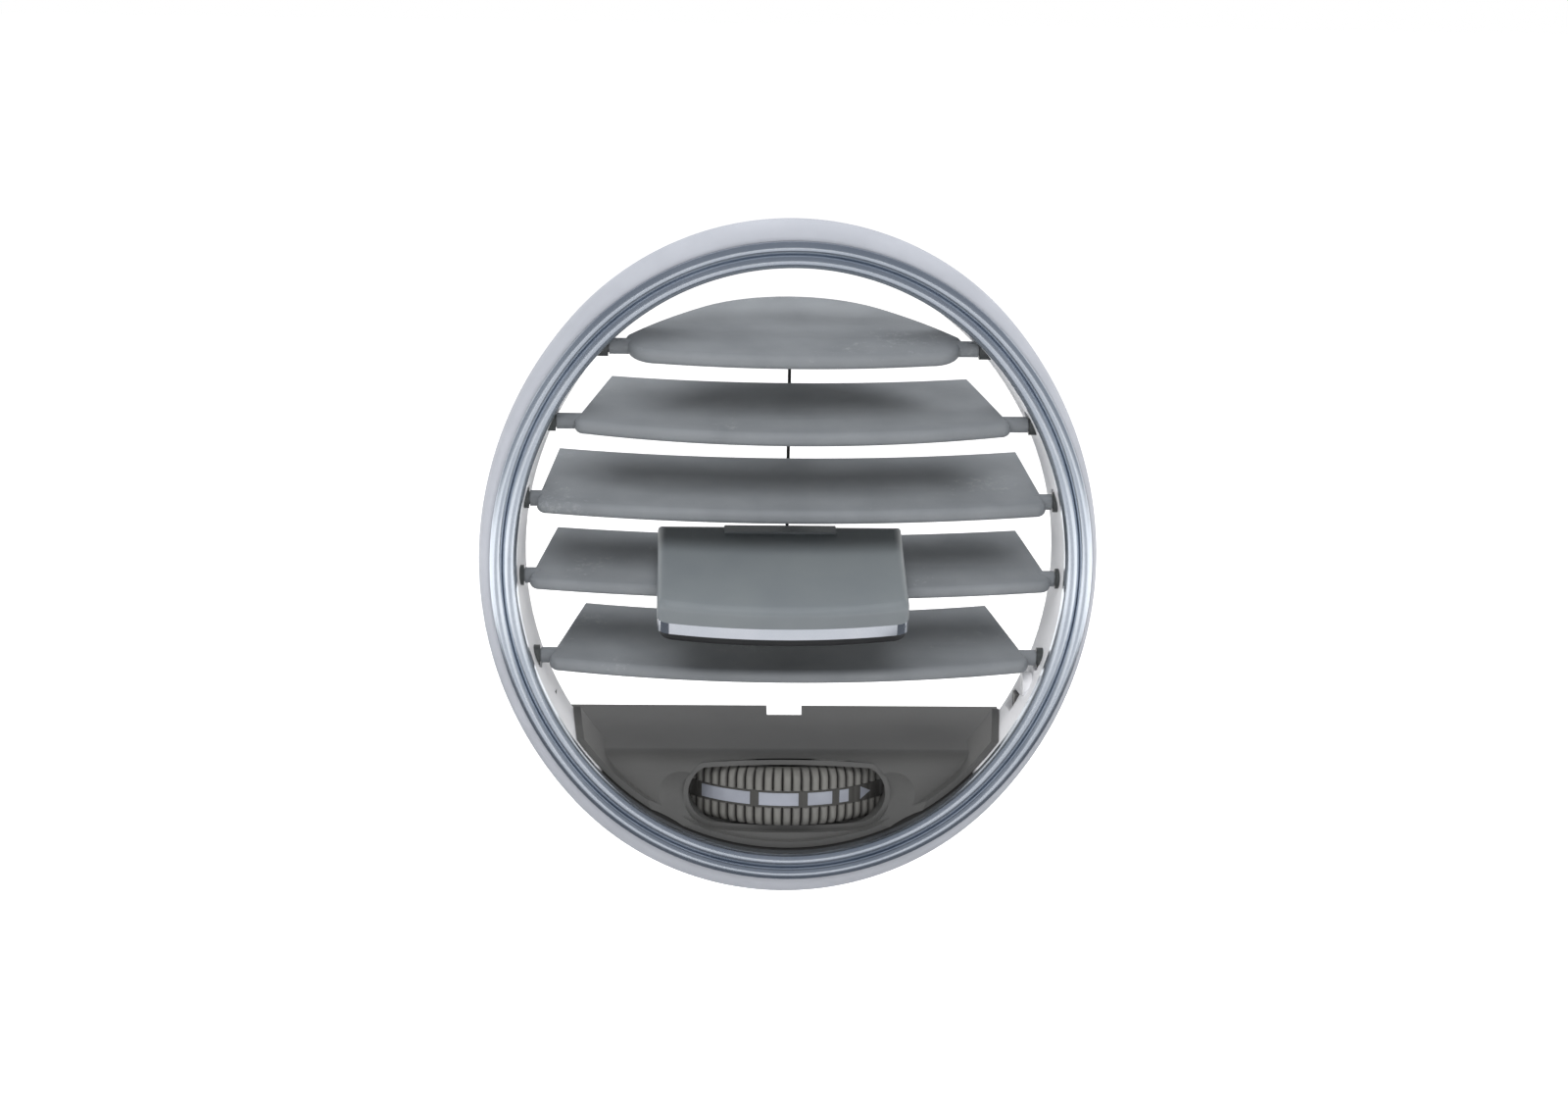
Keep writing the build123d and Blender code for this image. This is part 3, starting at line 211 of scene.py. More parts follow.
def node(tree, kind, links=None, **values):
    """Adds a shader node; values go to its settings or sockets, links to its sockets."""
    made = tree.nodes.new(kind)
    for name, value in values.items():
        if hasattr(made, name) and name not in made.inputs:
            setattr(made, name, value)
        else:
            made.inputs[name.replace("_", " ")].default_value = value
    for name, source in (links or {}).items():
        tree.links.new(source, made.inputs[name])
    return made


def new_material(name, **principled):
    """Principled material and its tree, with object coordinates in millimetres."""
    mat = bpy.data.materials.new(name)
    mat.use_nodes = True
    tree = mat.node_tree
    shader = tree.nodes["Principled BSDF"]
    for key, value in principled.items():
        shader.inputs[key.replace("_", " ")].default_value = value
    coords = node(tree, "ShaderNodeTexCoord")
    mm = node(tree, "ShaderNodeVectorMath", {0: coords.outputs["Object"]}, operation="SCALE", Scale=1 / MM)
    return mat, tree, shader, mm.outputs[0]


def grain(tree, shader, mm, size, height, detail=3.0):
    """Bump from fine noise: size is the grain in mm, height the relief in mm."""
    noise = node(tree, "ShaderNodeTexNoise", {"Vector": mm}, Scale=1 / size, Detail=detail)
    bump = node(tree, "ShaderNodeBump", {"Height": noise.outputs["Fac"]}, Strength=1.0, Distance=height * MM)
    tree.links.new(bump.outputs["Normal"], shader.inputs["Normal"])


def tone(tree, shader, mm, dark, light, size):
    """Base colour that drifts between two close tones over patches of about size mm."""
    noise = node(tree, "ShaderNodeTexNoise", {"Vector": mm}, Scale=1 / size, Detail=4.0)
    ramp = node(tree, "ShaderNodeMapRange", {"Value": noise.outputs["Fac"]}, From_Min=0.35, From_Max=0.65)
    mix = node(
        tree, "ShaderNodeMix", {"Factor": ramp.outputs["Result"]}, data_type="RGBA", A=srgb(dark), B=srgb(light)
    )
    tree.links.new(mix.outputs["Result"], shader.inputs["Base Color"])
    return mix.outputs["Result"]


def cover(tree, shader, share, under, colour):
    """Lays one colour over the base colour where share is high."""
    over = node(tree, "ShaderNodeMix", {"Factor": share, "A": under}, data_type="RGBA", B=srgb(colour))
    tree.links.new(over.outputs["Result"], shader.inputs["Base Color"])


def pearl_paint():
    """Pearl silver paint, sprayed on moulded plastic: soft sheen, fine sparkle, cool tint."""
    mat, tree, shader, mm = new_material("sprayed_pearl_paint", Metallic=0.15, Roughness=0.5)
    tone(tree, shader, mm, "b2b5bd", "b8bbc3", size=9.0)
    grain(tree, shader, mm, size=0.12, height=0.004)
    return mat


def satin_chrome():
    """Satin chrome plate: mirror broken up a little, with the faint waves of the moulding below."""
    mat, tree, shader, mm = new_material("satin_chrome_plate", Metallic=1.0, Roughness=0.26)
    tone(tree, shader, mm, "c3cad3", "ced4dc", size=14.0)
    grain(tree, shader, mm, size=3.5, height=0.006, detail=1.0)
    return mat


def bright_chrome():
    """Bright chrome plate of the knob's strip: a clean mirror."""
    mat, tree, shader, mm = new_material("bright_chrome_plate", Metallic=1.0, Roughness=0.07)
    tone(tree, shader, mm, "dfe3e8", "e9ebef", size=10.0)
    return mat


def silver_paint():
    """Thin silver paint, sprayed on the skirt: matt and pale; inside, below the panel's edge, bare plastic made
    near black as painted shade.
    """
    mat, tree, shader, mm = new_material("sprayed_silver_paint", Roughness=0.5)
    paint = tone(tree, shader, mm, "eeeff2", "f4f4f7", size=7.0)
    place = node(tree, "ShaderNodeSeparateXYZ", {0: mm})
    low = node(
        tree,
        "ShaderNodeMapRange",
        {"Value": place.outputs["Z"]},
        From_Min=PAINTED_SHADE_BELOW + PAINTED_SHADE_FADE,
        From_Max=PAINTED_SHADE_BELOW - PAINTED_SHADE_FADE,
    )
    across = node(tree, "ShaderNodeMath", {0: place.outputs["X"]}, operation="DIVIDE")
    across.inputs[1].default_value = SKIRT_MIDDLE[0]
    upright = node(tree, "ShaderNodeMath", {0: place.outputs["Z"]}, operation="DIVIDE")
    upright.inputs[1].default_value = SKIRT_MIDDLE[1]
    flat = node(tree, "ShaderNodeCombineXYZ", {"X": across.outputs[0], "Y": upright.outputs[0]})
    reach = node(tree, "ShaderNodeVectorMath", {0: flat.outputs[0]}, operation="LENGTH")
    inside = node(tree, "ShaderNodeMath", {0: reach.outputs["Value"]}, operation="LESS_THAN")
    inside.inputs[1].default_value = 1.0
    painted_shade = node(tree, "ShaderNodeMath", {0: low.outputs["Result"], 1: inside.outputs[0]}, operation="MULTIPLY")
    # Near black inside the skirt below the panel's edge: bare plastic, darkened as painted shade for the shade
    # the panel casts there
    cover(tree, shader, painted_shade.outputs[0], paint, "2b2b2b")
    grain(tree, shader, mm, size=0.15, height=0.004)
    return mat


def vane_plastic():
    """ABS of the vanes, moulded with an eggshell grain: dull, with faint dust smears from handling."""
    mat, tree, shader, mm = new_material("eggshell_moulded_abs", Roughness=0.58, Specular_IOR_Level=0.35)
    plain = tone(tree, shader, mm, "7a7e82", "84888c", size=12.0)
    # Dust in specks of about 1.6 mm, coarser than real dust so that it shows, within smears of about 17 mm
    dust = node(tree, "ShaderNodeTexNoise", {"Vector": mm}, Scale=1 / 1.6, Detail=8.0, Roughness=0.75)
    patch = node(tree, "ShaderNodeTexNoise", {"Vector": mm}, Scale=1 / 17.0, Detail=2.0)
    keep = node(tree, "ShaderNodeMath", {0: dust.outputs["Fac"], 1: patch.outputs["Fac"]}, operation="MULTIPLY")
    smear = node(
        tree, "ShaderNodeMapRange", {"Value": keep.outputs[0]}, From_Min=0.34, From_Max=0.44, To_Max=0.5
    )
    cover(tree, shader, smear.outputs["Result"], plain, "a0a4a7")
    grain(tree, shader, mm, size=0.35, height=0.012)
    return mat


def knob_plastic():
    """ABS of the knob, moulded satin: a soft highlight where the front rolls over."""
    mat, tree, shader, mm = new_material("satin_moulded_abs", Roughness=0.38)
    tone(tree, shader, mm, "757b7f", "7b8184", size=16.0)
    grain(tree, shader, mm, size=0.25, height=0.004)
    return mat


def panel_plastic():
    """Polypropylene of the lower panel, moulded with a fine even grain: warm dark grey, low sheen."""
    mat, tree, shader, mm = new_material("fine_grained_polypropylene", Roughness=0.5)
    tone(tree, shader, mm, "535352", "595958", size=18.0)
    grain(tree, shader, mm, size=0.3, height=0.01)
    return mat


def wheel_plastic():
    """Soft-touch coat on the wheel's ABS: dull and warm, with painted shade near black in the grooves between
    the ribs, and the plain band darker.
    """
    mat, tree, shader, mm = new_material("soft_touch_coated_abs", Roughness=0.62)
    coat_tone = tone(tree, shader, mm, "6f6e6b", "7a7975", size=5.0)
    depth = node(tree, "ShaderNodeAttribute", attribute_name="groove")
    # Painted shade: near black deep in the grooves, fading to the rib crests; the plain band is darkened by a
    # fixed share
    groove_shade_and_band_dark = node(tree, "ShaderNodeMapRange", {"Value": depth.outputs["Fac"]}, From_Min=0.25, From_Max=0.95)
    cover(tree, shader, groove_shade_and_band_dark.outputs["Result"], coat_tone, "1f1e1c")
    grain(tree, shader, mm, size=0.2, height=0.006)
    return mat


def plain_plastic(name, dark, light, rough):
    """Small technical moulding: a dull even skin with a fine spark-eroded grain."""
    mat, tree, shader, mm = new_material(name, Roughness=rough)
    tone(tree, shader, mm, dark, light, size=6.0)
    grain(tree, shader, mm, size=0.25, height=0.006)
    return mat


def plated_steel():
    """Zinc plated steel of the screws, axle and clip: a grey, slightly cloudy metal sheen."""
    mat, tree, shader, mm = new_material("zinc_plated_steel", Metallic=1.0, Roughness=0.34)
    tone(tree, shader, mm, "9a9a99", "adadab", size=2.0)
    return mat


MATERIALS = {
    "pearl_paint": pearl_paint(),
    "satin_chrome": satin_chrome(),
    "silver_paint": silver_paint(),
    # Acetal bushes: charcoal, a little waxy
    "dark_bush": plain_plastic("moulded_acetal", "3c3f3f", "474a4a", 0.45),
    "warm_grey": panel_plastic(),
    "vane_grey": vane_plastic(),
    "knob_grey": knob_plastic(),
    "bright_trim": bright_chrome(),
    # Lip under the knob: near black and matt
    "dark_lip": plain_plastic("matt_moulded_abs", "1f2021", "262728", 0.6),
    # Rubber pad: black, no sheen
    "rubber_pad": plain_plastic("moulded_rubber", "121212", "1a1a1a", 0.8),
    "wheel_grey": wheel_plastic(),
    # Flow marks: pale blue-grey blocks, flush with the wheel's band
    "mark_white": plain_plastic("two_shot_moulded_abs", "9296a1", "9ca0ab", 0.5),
    # Bracket and crank: black, dry
    "black_nylon": plain_plastic("moulded_nylon", "1b1b1c", "232324", 0.55),
    "steel": plated_steel(),
}
slots = {row["node"]: row["material_slot"] for row in frame["record"]["subparts"]}


def dress(obj, slot_name):
    """Gives a piece its material and smooth shading."""
    obj.data.materials.clear()
    obj.data.materials.append(MATERIALS[slot_name])
    mesh = obj.data
    mesh.polygons.foreach_set("use_smooth", [True] * len(mesh.polygons))


def smooth_by_angle(obj, degrees):
    """Keeps the edges sharper than the angle sharp, so that flats stay flat."""
    bm = bmesh.new()
    bm.from_mesh(obj.data)
    limit = math.radians(degrees)
    for edge in bm.edges:
        edge.smooth = len(edge.link_faces) == 2 and edge.calc_face_angle(0.0) < limit
    bm.to_mesh(obj.data)
    bm.free()


for name, obj in nodes.items():
    dress(obj, slots[name])
    if obj.data.has_custom_normals:
        bpy.context.view_layer.objects.active = obj
        with bpy.context.temp_override(object=obj, active_object=obj):
            bpy.ops.mesh.customdata_custom_splitnormals_clear()
    smooth_by_angle(obj, CAD_CREASE)


def new_object(name, bm):
    """Object from a finished bmesh, which stands at the origin."""
    mesh = bpy.data.meshes.new(name)
    bm.to_mesh(mesh)
    bm.free()
    obj = bpy.data.objects.new(name, mesh)
    bpy.context.scene.collection.objects.link(obj)
    return obj


def new_parts(drawn, kind):
    """The parts of one kind, such as BMVert, in what an operator made."""
    return [part for part in drawn if isinstance(part, kind)]


def everything(bm):
    """All vertices, edges and faces."""
    return bm.verts[:] + bm.edges[:] + bm.faces[:]


def outline_edges(bm, verts):
    """Edges that join the vertices to a closed outline."""
    return [bm.edges.new((verts[i - 1], verts[i])) for i in range(len(verts))]


def arc_points(p0, p1, p2, count):
    """Points of the circle arc through three section points, the last one left out."""
    ax, ay = p0
    bx, by = p1
    cx, cy = p2
    d = 2 * (ax * (by - cy) + bx * (cy - ay) + cx * (ay - by))
    ux = ((ax**2 + ay**2) * (by - cy) + (bx**2 + by**2) * (cy - ay) + (cx**2 + cy**2) * (ay - by)) / d
    uy = ((ax**2 + ay**2) * (cx - bx) + (bx**2 + by**2) * (ax - cx) + (cx**2 + cy**2) * (bx - ax)) / d
    r = math.hypot(ax - ux, ay - uy)
    a0, a1, a2 = (math.atan2(y - uy, x - ux) for x, y in (p0, p1, p2))
    a1 = a0 + math.remainder(a1 - a0, 2 * math.pi)
    a2 = a1 + math.remainder(a2 - a1, 2 * math.pi)
    turns = [a0 + (a2 - a0) * i / count for i in range(count)]
    return [(ux + r * math.cos(turn), uy + r * math.sin(turn)) for turn in turns]


# Ring and band of the bezel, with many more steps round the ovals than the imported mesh
def oval_point(a, b, t):
    """Point of a four centre oval round the origin; t runs once round from the right side."""
    spread = b - a
    inset = OVAL_SHAPE * spread
    end_r = a - inset
    side_r = b + spread**2 / (2 * inset)
    turn = math.asin((b - end_r) / (side_r - end_r))
    quarter, part = divmod(t * 4, 1.0)
    if int(quarter) % 2:
        part = 1.0 - part
    if part < 0.5:
        angle = turn * part * 2
        x = side_r * math.cos(angle) - (side_r - a)
        z = side_r * math.sin(angle)
    else:
        angle = turn + (math.pi / 2 - turn) * (part * 2 - 1)
        x = end_r * math.cos(angle)
        z = (b - end_r) + end_r * math.sin(angle)
    sx = -1 if int(quarter) in (1, 2) else 1
    sz = -1 if int(quarter) in (2, 3) else 1
    return sx * x, sz * z


def lay_on_oval(verts, step, section):
    """Moves each vertex to its step along an oval."""
    a, b, shift, y = section
    for vert in verts:
        x, z = oval_point(a, b, vert[step] / OVAL_STEPS)
        vert.co = ((shift + x) * MM, y * MM, z * MM)


def closed_ring(name, sections):
    """Ring drawn out from oval to oval, once round its wall's section."""
    bm = bmesh.new()
    step = bm.verts.layers.int.new("step")
    verts = [bm.verts.new() for _ in range(OVAL_STEPS)]
    for i, vert in enumerate(verts):
        vert[step] = i
    edges = outline_edges(bm, verts)
    lay_on_oval(verts, step, sections[0])
    for section in [*sections[1:], sections[0]]:
        drawn = bmesh.ops.extrude_edge_only(bm, edges=edges)["geom"]
        edges = [edge for edge in new_parts(drawn, bmesh.types.BMEdge) if edge.is_boundary]
        lay_on_oval(new_parts(drawn, bmesh.types.BMVert), step, section)
    bmesh.ops.remove_doubles(bm, verts=bm.verts, dist=0.001 * MM)
    bmesh.ops.recalc_face_normals(bm, faces=bm.faces)
    return new_object(name, bm)


profile = [(RING_OUT, LEDGE_FRONT), (RING_OUT, RING_EDGE)]
profile += arc_points(*OUTER_BEAD, BEAD_STEPS)
profile += arc_points(*INNER_BEAD, BEAD_STEPS)
profile += [INNER_BEAD[-1], (INNER_BEAD[-1][0], LEDGE_FRONT)]
beads = closed_ring("ring_beads", [(x, x + GROWTH, 0.0, y) for x, y in profile])
dress(beads, "satin_chrome")
smooth_by_angle(beads, BEAD_CREASE)
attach(beads, "vent_body")
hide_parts("chrome_ring")

crown = []
for i in range(BAND_STEPS + 1):
    s = i / BAND_STEPS
    w0, w1, w2 = (1 - s) * (1 - 2 * s), 4 * s * (1 - s), s * (2 * s - 1)
    crown.append([w0 * p0 + w1 * p1 + w2 * p2 for p0, p1, p2 in zip(BAND_REAR, BAND_MIDDLE, BAND_FRONT)])
shell = closed_ring("bezel_band", [BAND_FOOT, *crown, *BAND_INSIDE])
dress(shell, "pearl_paint")
smooth_by_angle(shell, BAND_CREASE)
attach(shell, "vent_body")
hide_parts("outer_bezel")


# Flow wheel: rounded ribs that run over rounded shoulders, plain band between them
def rim_heights():
    """Heights of the rim's outside from top to bottom, close together over the shoulders."""
    drops = [SHOULDER * (1 - math.cos(math.pi / 2 * i / SHOULDER_STEPS)) for i in range(SHOULDER_STEPS + 1)]
    upper = [WHEEL_TOP - drop for drop in drops] + [PLAIN_TOP + PLAIN_LIP, PLAIN_TOP]
    lower = [PLAIN_BOTTOM, PLAIN_BOTTOM - PLAIN_LIP] + [WHEEL_BOTTOM + drop for drop in reversed(drops)]
    return upper + lower


def on_plain_band(z):
    """Whether a height lies on the plain band."""
    return PLAIN_BOTTOM - TOUCH <= z <= PLAIN_TOP + TOUCH


def rib_height(turn):
    """Height of the rib pattern at an angle: 1 on a rib's crest, 0 in a groove."""
    phase = (turn / (2 * math.pi) * RIB_COUNT + 0.5) % 1.0 - 0.5
    share = abs(phase) / RIB_SHARE
    return math.sqrt(1 - share**2) if share < 1 else 0.0


def rim_radius(z, rib):
    """Outer radius of the wheel: full on a rib, less in a groove, plain on the band."""
    if on_plain_band(z):
        return PLAIN_R
    edge = max(0.0, min(WHEEL_TOP - z, z - WHEEL_BOTTOM))
    round_off = SHOULDER - math.sqrt(SHOULDER**2 - max(0.0, SHOULDER - edge) ** 2)
    return WHEEL_R - round_off - RIB_DEEP * min(1.0, RIB_START + edge) * (1 - rib)


def fine_wheel():
    """Wheel as a segment: section spun round the axle, ribs drawn out, rear cut off."""
    section = [(WHEEL_R, z) for z in rim_heights()]
    section += [(RIM_INNER_R, WHEEL_BOTTOM), (RIM_INNER_R, WEB_BOTTOM), (HUB_R, WEB_BOTTOM)]
    section += [(HUB_R, WHEEL_BOTTOM), (BORE_R, WHEEL_BOTTOM), (BORE_R, HUB_TOP), (HUB_R, HUB_TOP)]
    section += [(HUB_R, WEB_TOP), (RIM_INNER_R, WEB_TOP), (RIM_INNER_R, WHEEL_TOP)]
    bm = bmesh.new()
    verts = [bm.verts.new((0, (WHEEL_Y - r) * MM, z * MM)) for r, z in section]
    bmesh.ops.spin(
        bm,
        geom=verts + outline_edges(bm, verts),
        cent=(0, WHEEL_Y * MM, 0),
        axis=(0, 0, 1),
        angle=2 * math.pi,
        steps=RIB_COUNT * RIB_STEPS,
        use_merge=True,
    )
    groove = bm.verts.layers.float.new("groove")
    for vert in bm.verts:
        x, y, z = vert.co.x / MM, vert.co.y / MM - WHEEL_Y, vert.co.z / MM
        if math.hypot(x, y) < WHEEL_R - RIM_SKIN:
            continue
        turn = math.atan2(x, -y)
        rib = rib_height(turn)
        r = rim_radius(z, rib)
        vert.co = (r * math.sin(turn) * MM, (WHEEL_Y - r * math.cos(turn)) * MM, z * MM)
        # How dark each rim point is painted: painted shade deepest in the grooves, a fixed darkening on the
        # plain band
        vert[groove] = PLAIN_DARKENING if on_plain_band(z) else 1.0 - rib
    cut = bmesh.ops.bisect_plane(
        bm,
        geom=everything(bm),
        plane_co=(0, (WHEEL_Y + WHEEL_CHORD) * MM, 0),
        plane_no=(0, 1, 0),
        clear_outer=True,
    )
    bmesh.ops.triangle_fill(bm, edges=new_parts(cut["geom_cut"], bmesh.types.BMEdge), use_beauty=True)
    bmesh.ops.recalc_face_normals(bm, faces=bm.faces)
    return new_object("wheel_ribbed", bm)


wheel = fine_wheel()
dress(wheel, "wheel_grey")
smooth_by_angle(wheel, WHEEL_CREASE)
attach(wheel, "flow_wheel")
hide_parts("thumbwheel")


# Vanes with the photograph's plans; pins, lug and link pin as in the CAD
def vane_outline(half, corner, front_end, front_mid, rear):
    """Plan of a vane: front arc, rounded corners, straight ends, then the arcs of its rear edge."""
    flat, side = half - corner, corner * (1 - math.sqrt(0.5))
    points = arc_points((-flat, -front_end), (0, -front_mid), (flat, -front_end), FRONT_STEPS)
    corner_end = (half, corner - front_end)
    points += arc_points((flat, -front_end), (half - side, side - front_end), corner_end, CORNER_STEPS)
    points.append(corner_end)
    for start, middle, end in zip(rear[::2], rear[1::2], rear[2::2]):
        points += arc_points(start, middle, end, REAR_STEPS)
    points.append(rear[-1])
    corner_end = (-half, corner - front_end)
    points += arc_points(corner_end, (side - half, side - front_end), (-flat, -front_end), CORNER_STEPS)
    return points


def extruded(bm, points, shift):
    """Flat closed outline drawn out into a solid by shift."""
    verts = [bm.verts.new(point) for point in points]
    face = bmesh.ops.contextual_create(bm, geom=verts)["faces"]
    drawn = bmesh.ops.extrude_face_region(bm, geom=face)["geom"]
    bmesh.ops.translate(bm, vec=shift, verts=new_parts(drawn, bmesh.types.BMVert))


def pin(bm, radius, start, end, v=0.0, w=0.0):
    """Round pin along the vane from start to end."""
    place = Matrix.Translation(((start + end) / 2, v, w)) @ Matrix.Rotation(math.pi / 2, 4, "Y")
    bmesh.ops.create_cone(
        bm,
        cap_ends=True,
        segments=PIN_SIDES,
        radius1=radius,
        radius2=radius,
        depth=abs(end - start),
        matrix=place,
    )


def fine_vane(number):
    """Vane in its own plane, in mm, then tilted and lifted to its place at rest."""
    z, thick, half, corner, front_end, front_mid, rear, round_to, boss, pin_end = FINE_VANES[number]
    bm = bmesh.new()
    outline = vane_outline(half, corner, front_end, front_mid, rear)
    extruded(bm, [(u, v, -thick / 2) for u, v in outline], (0, 0, thick))
    bmesh.ops.recalc_face_normals(bm, faces=bm.faces)
    rims = [
        edge
        for edge in bm.edges
        if abs(sum(vert.co.z for vert in edge.verts)) > thick - TOUCH
        and sum(vert.co.y for vert in edge.verts) / 2 < round_to
    ]
    bmesh.ops.bevel(
        bm,
        geom=rims,
        offset=thick / 2 - RIM_FLAT,
        segments=RIM_STEPS,
        profile=0.5,
        affect="EDGES",
        material=-1,
        clamp_overlap=True,
    )
    fall = (VANE_T - VANE_REAR_T) / 2 / (TAPER_TO - TAPER_FROM)
    for up in (-1, 1):
        cut = bmesh.ops.bisect_plane(
            bm,
            geom=everything(bm),
            plane_co=(0, TAPER_FROM, up * thick / 2),
            plane_no=(0, fall, up),
            clear_outer=True,
        )
        rim = new_parts(cut["geom_cut"], bmesh.types.BMEdge)
        bmesh.ops.holes_fill(bm, edges=[edge for edge in rim if edge.is_boundary])
    for side in (-1, 1):
        pin(bm, ROOT_R, side * (half - ROOT_SUNK), side * (boss - ROOT_GAP))
        pin(bm, PIN_R, side * (half - PIN_SUNK), side * pin_end)
    extruded(bm, [(LUG_SIDE, LINK_U + v, LINK_V + w) for v, w in LUG_SHAPE], (LUG_T, 0, 0))
    pin(bm, LINK_PIN_R, LUG_SIDE + LINK_PIN_SUNK, -LUG_SIDE - LINK_PIN_SUNK, LINK_U, LINK_V)
    pin(bm, HEAD_R, -LUG_SIDE, -LUG_SIDE - HEAD_T, LINK_U, LINK_V)
    place = Matrix.Scale(MM, 4) @ Matrix.Translation((0, PIVOT_Y, z)) @ Matrix.Rotation(TILT, 4, "X")
    bmesh.ops.transform(bm, matrix=place, verts=bm.verts)
    bmesh.ops.recalc_face_normals(bm, faces=bm.faces)
    return new_object(f"vane_{number}_blade", bm)


for number in FINE_VANES:
    blade = fine_vane(number)
    dress(blade, "vane_grey")
    smooth_by_angle(blade, CAD_CREASE)
    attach(blade, f"louver_{number}")
    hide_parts(f"vane_{number}")


# Collar behind the slot's ends: it closes the view past the wheel
def slot_collar():
    """Slot outline drawn back from the panel's skin to the wheel's running gap, with a wall outwards."""
    corner, crest = (SLOT_TOP[0], WHEEL_TOP + SLOT_TOP[1]), (0, WHEEL_TOP + SLOT_TOP[2])
    flank = (SLOT_SIDE[0], WHEEL_TOP + SLOT_SIDE[1])
    foot, bottom = (SLOT_FOOT[0], WHEEL_TOP + SLOT_FOOT[1]), (0, WHEEL_TOP + SLOT_FOOT[2])
    far_corner, far_flank, far_foot = ((-x, z) for x, z in (corner, flank, foot))
    outline = arc_points(far_corner, crest, corner, LONG_STEPS)
    outline += arc_points(corner, flank, foot, END_STEPS)
    outline += arc_points(foot, bottom, far_foot, LONG_STEPS)
    outline += arc_points(far_foot, far_flank, far_corner, END_STEPS)
    bm = bmesh.new()
    verts = [bm.verts.new((x * MM, COLLAR_FRONT * MM, z * MM)) for x, z in outline]
    drawn = bmesh.ops.extrude_edge_only(bm, edges=outline_edges(bm, verts))["geom"]
    for vert in new_parts(drawn, bmesh.types.BMVert):
        x = vert.co.x / MM
        clear = WHEEL_Y - math.sqrt((WHEEL_R + COLLAR_GAP) ** 2 - x**2)
        vert.co.y = max(COLLAR_FRONT + COLLAR_LEAST, min(COLLAR_BACK, clear)) * MM
    bmesh.ops.recalc_face_normals(bm, faces=bm.faces)
    bmesh.ops.solidify(bm, geom=bm.faces[:], thickness=COLLAR_T * MM)
    bmesh.ops.recalc_face_normals(bm, faces=bm.faces)
    return new_object("slot_collar", bm)


collar = slot_collar()
dress(collar, "warm_grey")
smooth_by_angle(collar, WHEEL_CREASE)
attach(collar, "vent_body")


# Stage: pale floor, white surroundings, dark cards that only the plating reflects
def staged_sheet(name, width, height):
    """Flat sheet round the origin with an empty material."""
    bm = bmesh.new()
    bmesh.ops.create_grid(bm, x_segments=1, y_segments=1, size=0.5)
    bmesh.ops.scale(bm, vec=(width, height, 1), verts=bm.verts)
    obj = new_object(name, bm)
    mat = bpy.data.materials.new(name)
    mat.use_nodes = True
    mat.node_tree.nodes.clear()
    obj.data.materials.append(mat)
    return obj, mat.node_tree


def seen_ray(tree):
    """1 for what is seen, directly, mirrored or through glass, and 0 for light that falls on surfaces."""
    path = node(tree, "ShaderNodeLightPath")
    seen = path.outputs["Is Camera Ray"]
    for kind in ("Is Glossy Ray", "Is Transmission Ray"):
        seen = node(tree, "ShaderNodeMath", {0: seen, 1: path.outputs[kind]}, operation="MAXIMUM").outputs[0]
    return seen


for name, (width, height), centre, faced, colour, strength in CARDS:
    card, tree = staged_sheet(name, width, height)
    direction = Vector(faced) - Vector(centre)
    card.matrix_world = Matrix.Translation(centre) @ direction.to_track_quat("Z", "Y").to_matrix().to_4x4()
    shown = node(tree, "ShaderNodeEmission", Color=srgb(colour), Strength=strength)
    node(tree, "ShaderNodeOutputMaterial", {"Surface": shown.outputs[0]})
    card.visible_camera = False
    card.visible_shadow = False
    card.visible_diffuse = False

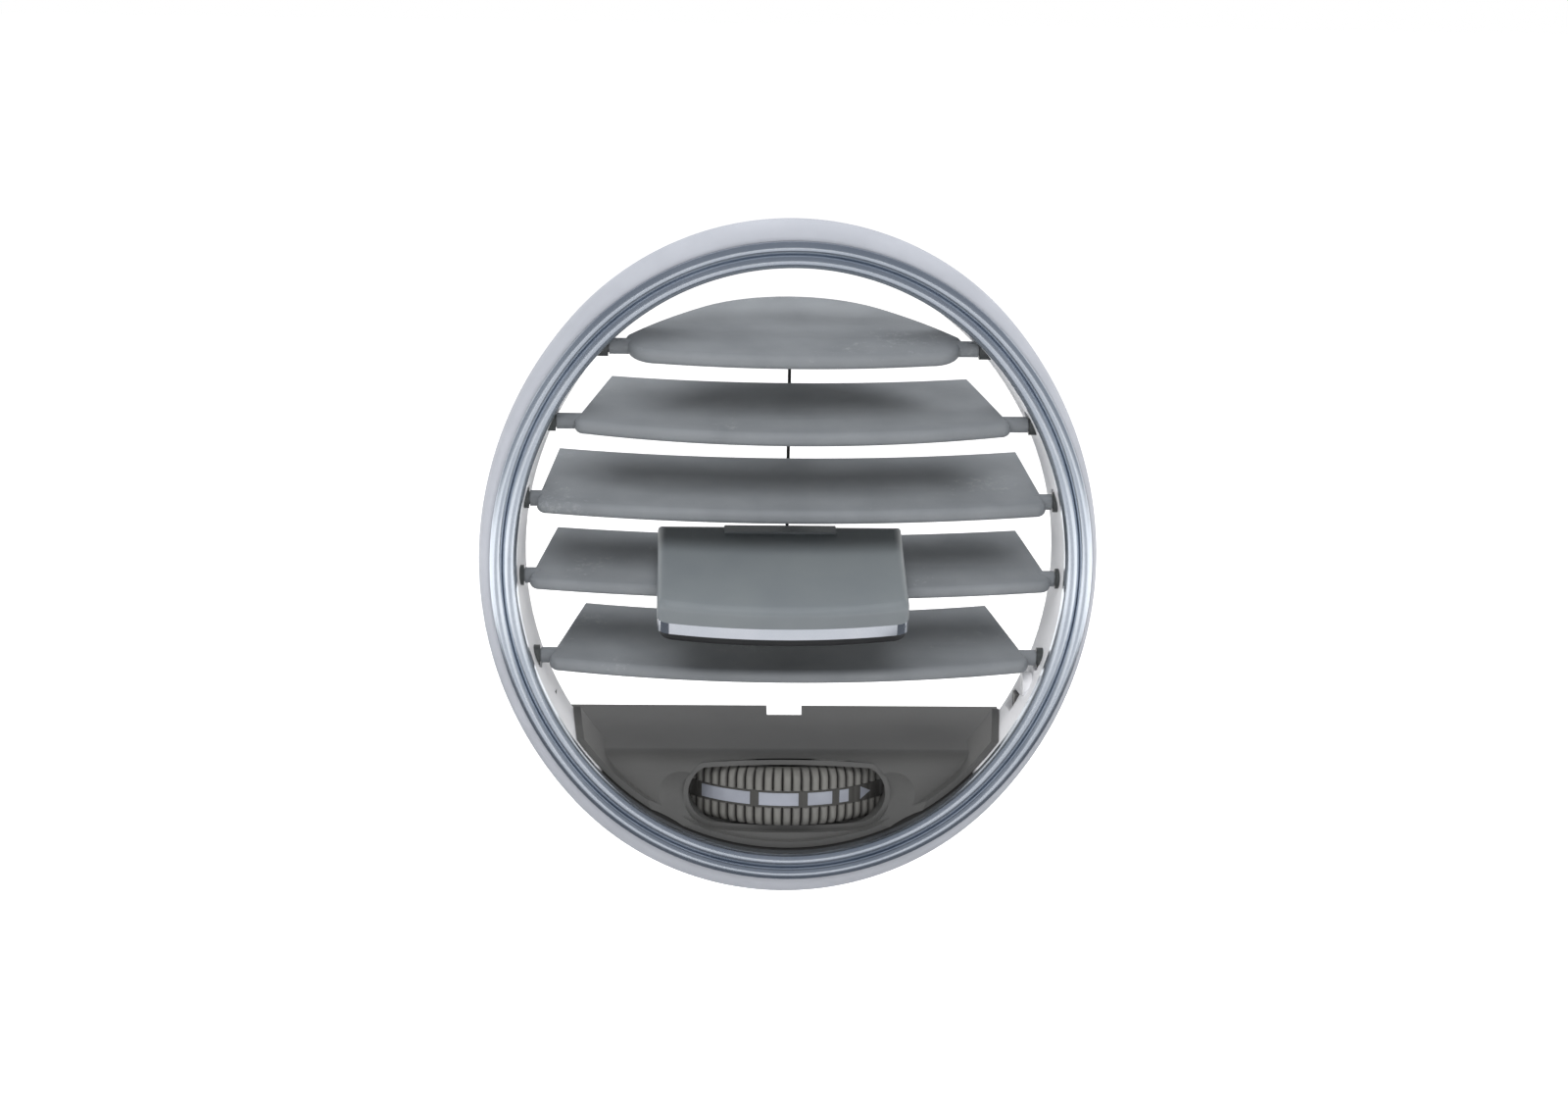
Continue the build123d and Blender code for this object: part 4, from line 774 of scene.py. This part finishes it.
floor, tree = staged_sheet("floor", FLOOR_SIZE, FLOOR_SIZE)
floor.location = (0, 0, FLOOR_Z)
lift = node(tree, "ShaderNodeMath", {0: seen_ray(tree)}, operation="MULTIPLY")
lift.inputs[1].default_value = FLOOR_LIFT
diffuse = node(tree, "ShaderNodeBsdfDiffuse", Color=srgb("f4f4f4"))
white = node(tree, "ShaderNodeEmission", {"Strength": lift.outputs[0]}, Color=(1, 1, 1, 1))
both = node(tree, "ShaderNodeAddShader", {0: diffuse.outputs[0], 1: white.outputs[0]})
node(tree, "ShaderNodeOutputMaterial", {"Surface": both.outputs[0]})

world = bpy.data.worlds.new("studio")
bpy.context.scene.world = world
world.use_nodes = True
tree = world.node_tree
tree.nodes.clear()
level = node(tree, "ShaderNodeMapRange", {"Value": seen_ray(tree)}, To_Min=WORLD_LIGHT, To_Max=1.0)
back = node(tree, "ShaderNodeBackground", {"Strength": level.outputs["Result"]}, Color=(1, 1, 1, 1))
node(tree, "ShaderNodeOutputWorld", {"Surface": back.outputs[0]})

# Soft lamps that face the vent; the plating shows the cards and not the lamps
for name, centre, size, power in LAMPS:
    data = bpy.data.lights.new(name, "AREA")
    data.shape = "RECTANGLE"
    data.size, data.size_y = size
    data.energy = power
    lamp = bpy.data.objects.new(name, data)
    bpy.context.scene.collection.objects.link(lamp)
    direction = -Vector(centre)
    lamp.matrix_world = Matrix.Translation(centre) @ direction.to_track_quat("-Z", "Y").to_matrix().to_4x4()
    lamp.visible_glossy = False

back_dir = Vector(
    (
        math.sin(AZIMUTH) * math.cos(ELEVATION),
        -math.cos(AZIMUTH) * math.cos(ELEVATION),
        math.sin(ELEVATION),
    )
)
right = (-back_dir).cross(Vector((0, 0, 1))).normalized()
up = right.cross(-back_dir)
cam_right = right * math.cos(ROLL) + up * math.sin(ROLL)
cam_up = up * math.cos(ROLL) - right * math.sin(ROLL)
cam_data = bpy.data.cameras.new("camera")
cam_data.sensor_width = SENSOR
cam_data.lens = SENSOR * PIXELS_PER_MM * DISTANCE / MM / PHOTO_WIDTH
cam_data.shift_x = SHIFT_RIGHT / PHOTO_WIDTH
cam_data.shift_y = SHIFT_UP / PHOTO_WIDTH
cam_data.clip_start, cam_data.clip_end = 0.01, 20
cam = bpy.data.objects.new("camera", cam_data)
bpy.context.scene.collection.objects.link(cam)
turned = Matrix((cam_right, cam_up, back_dir)).transposed().to_4x4()
cam.matrix_world = Matrix.Translation(AIM + back_dir * DISTANCE) @ turned
bpy.context.scene.camera = cam
bpy.context.scene.view_settings.view_transform = "Standard"
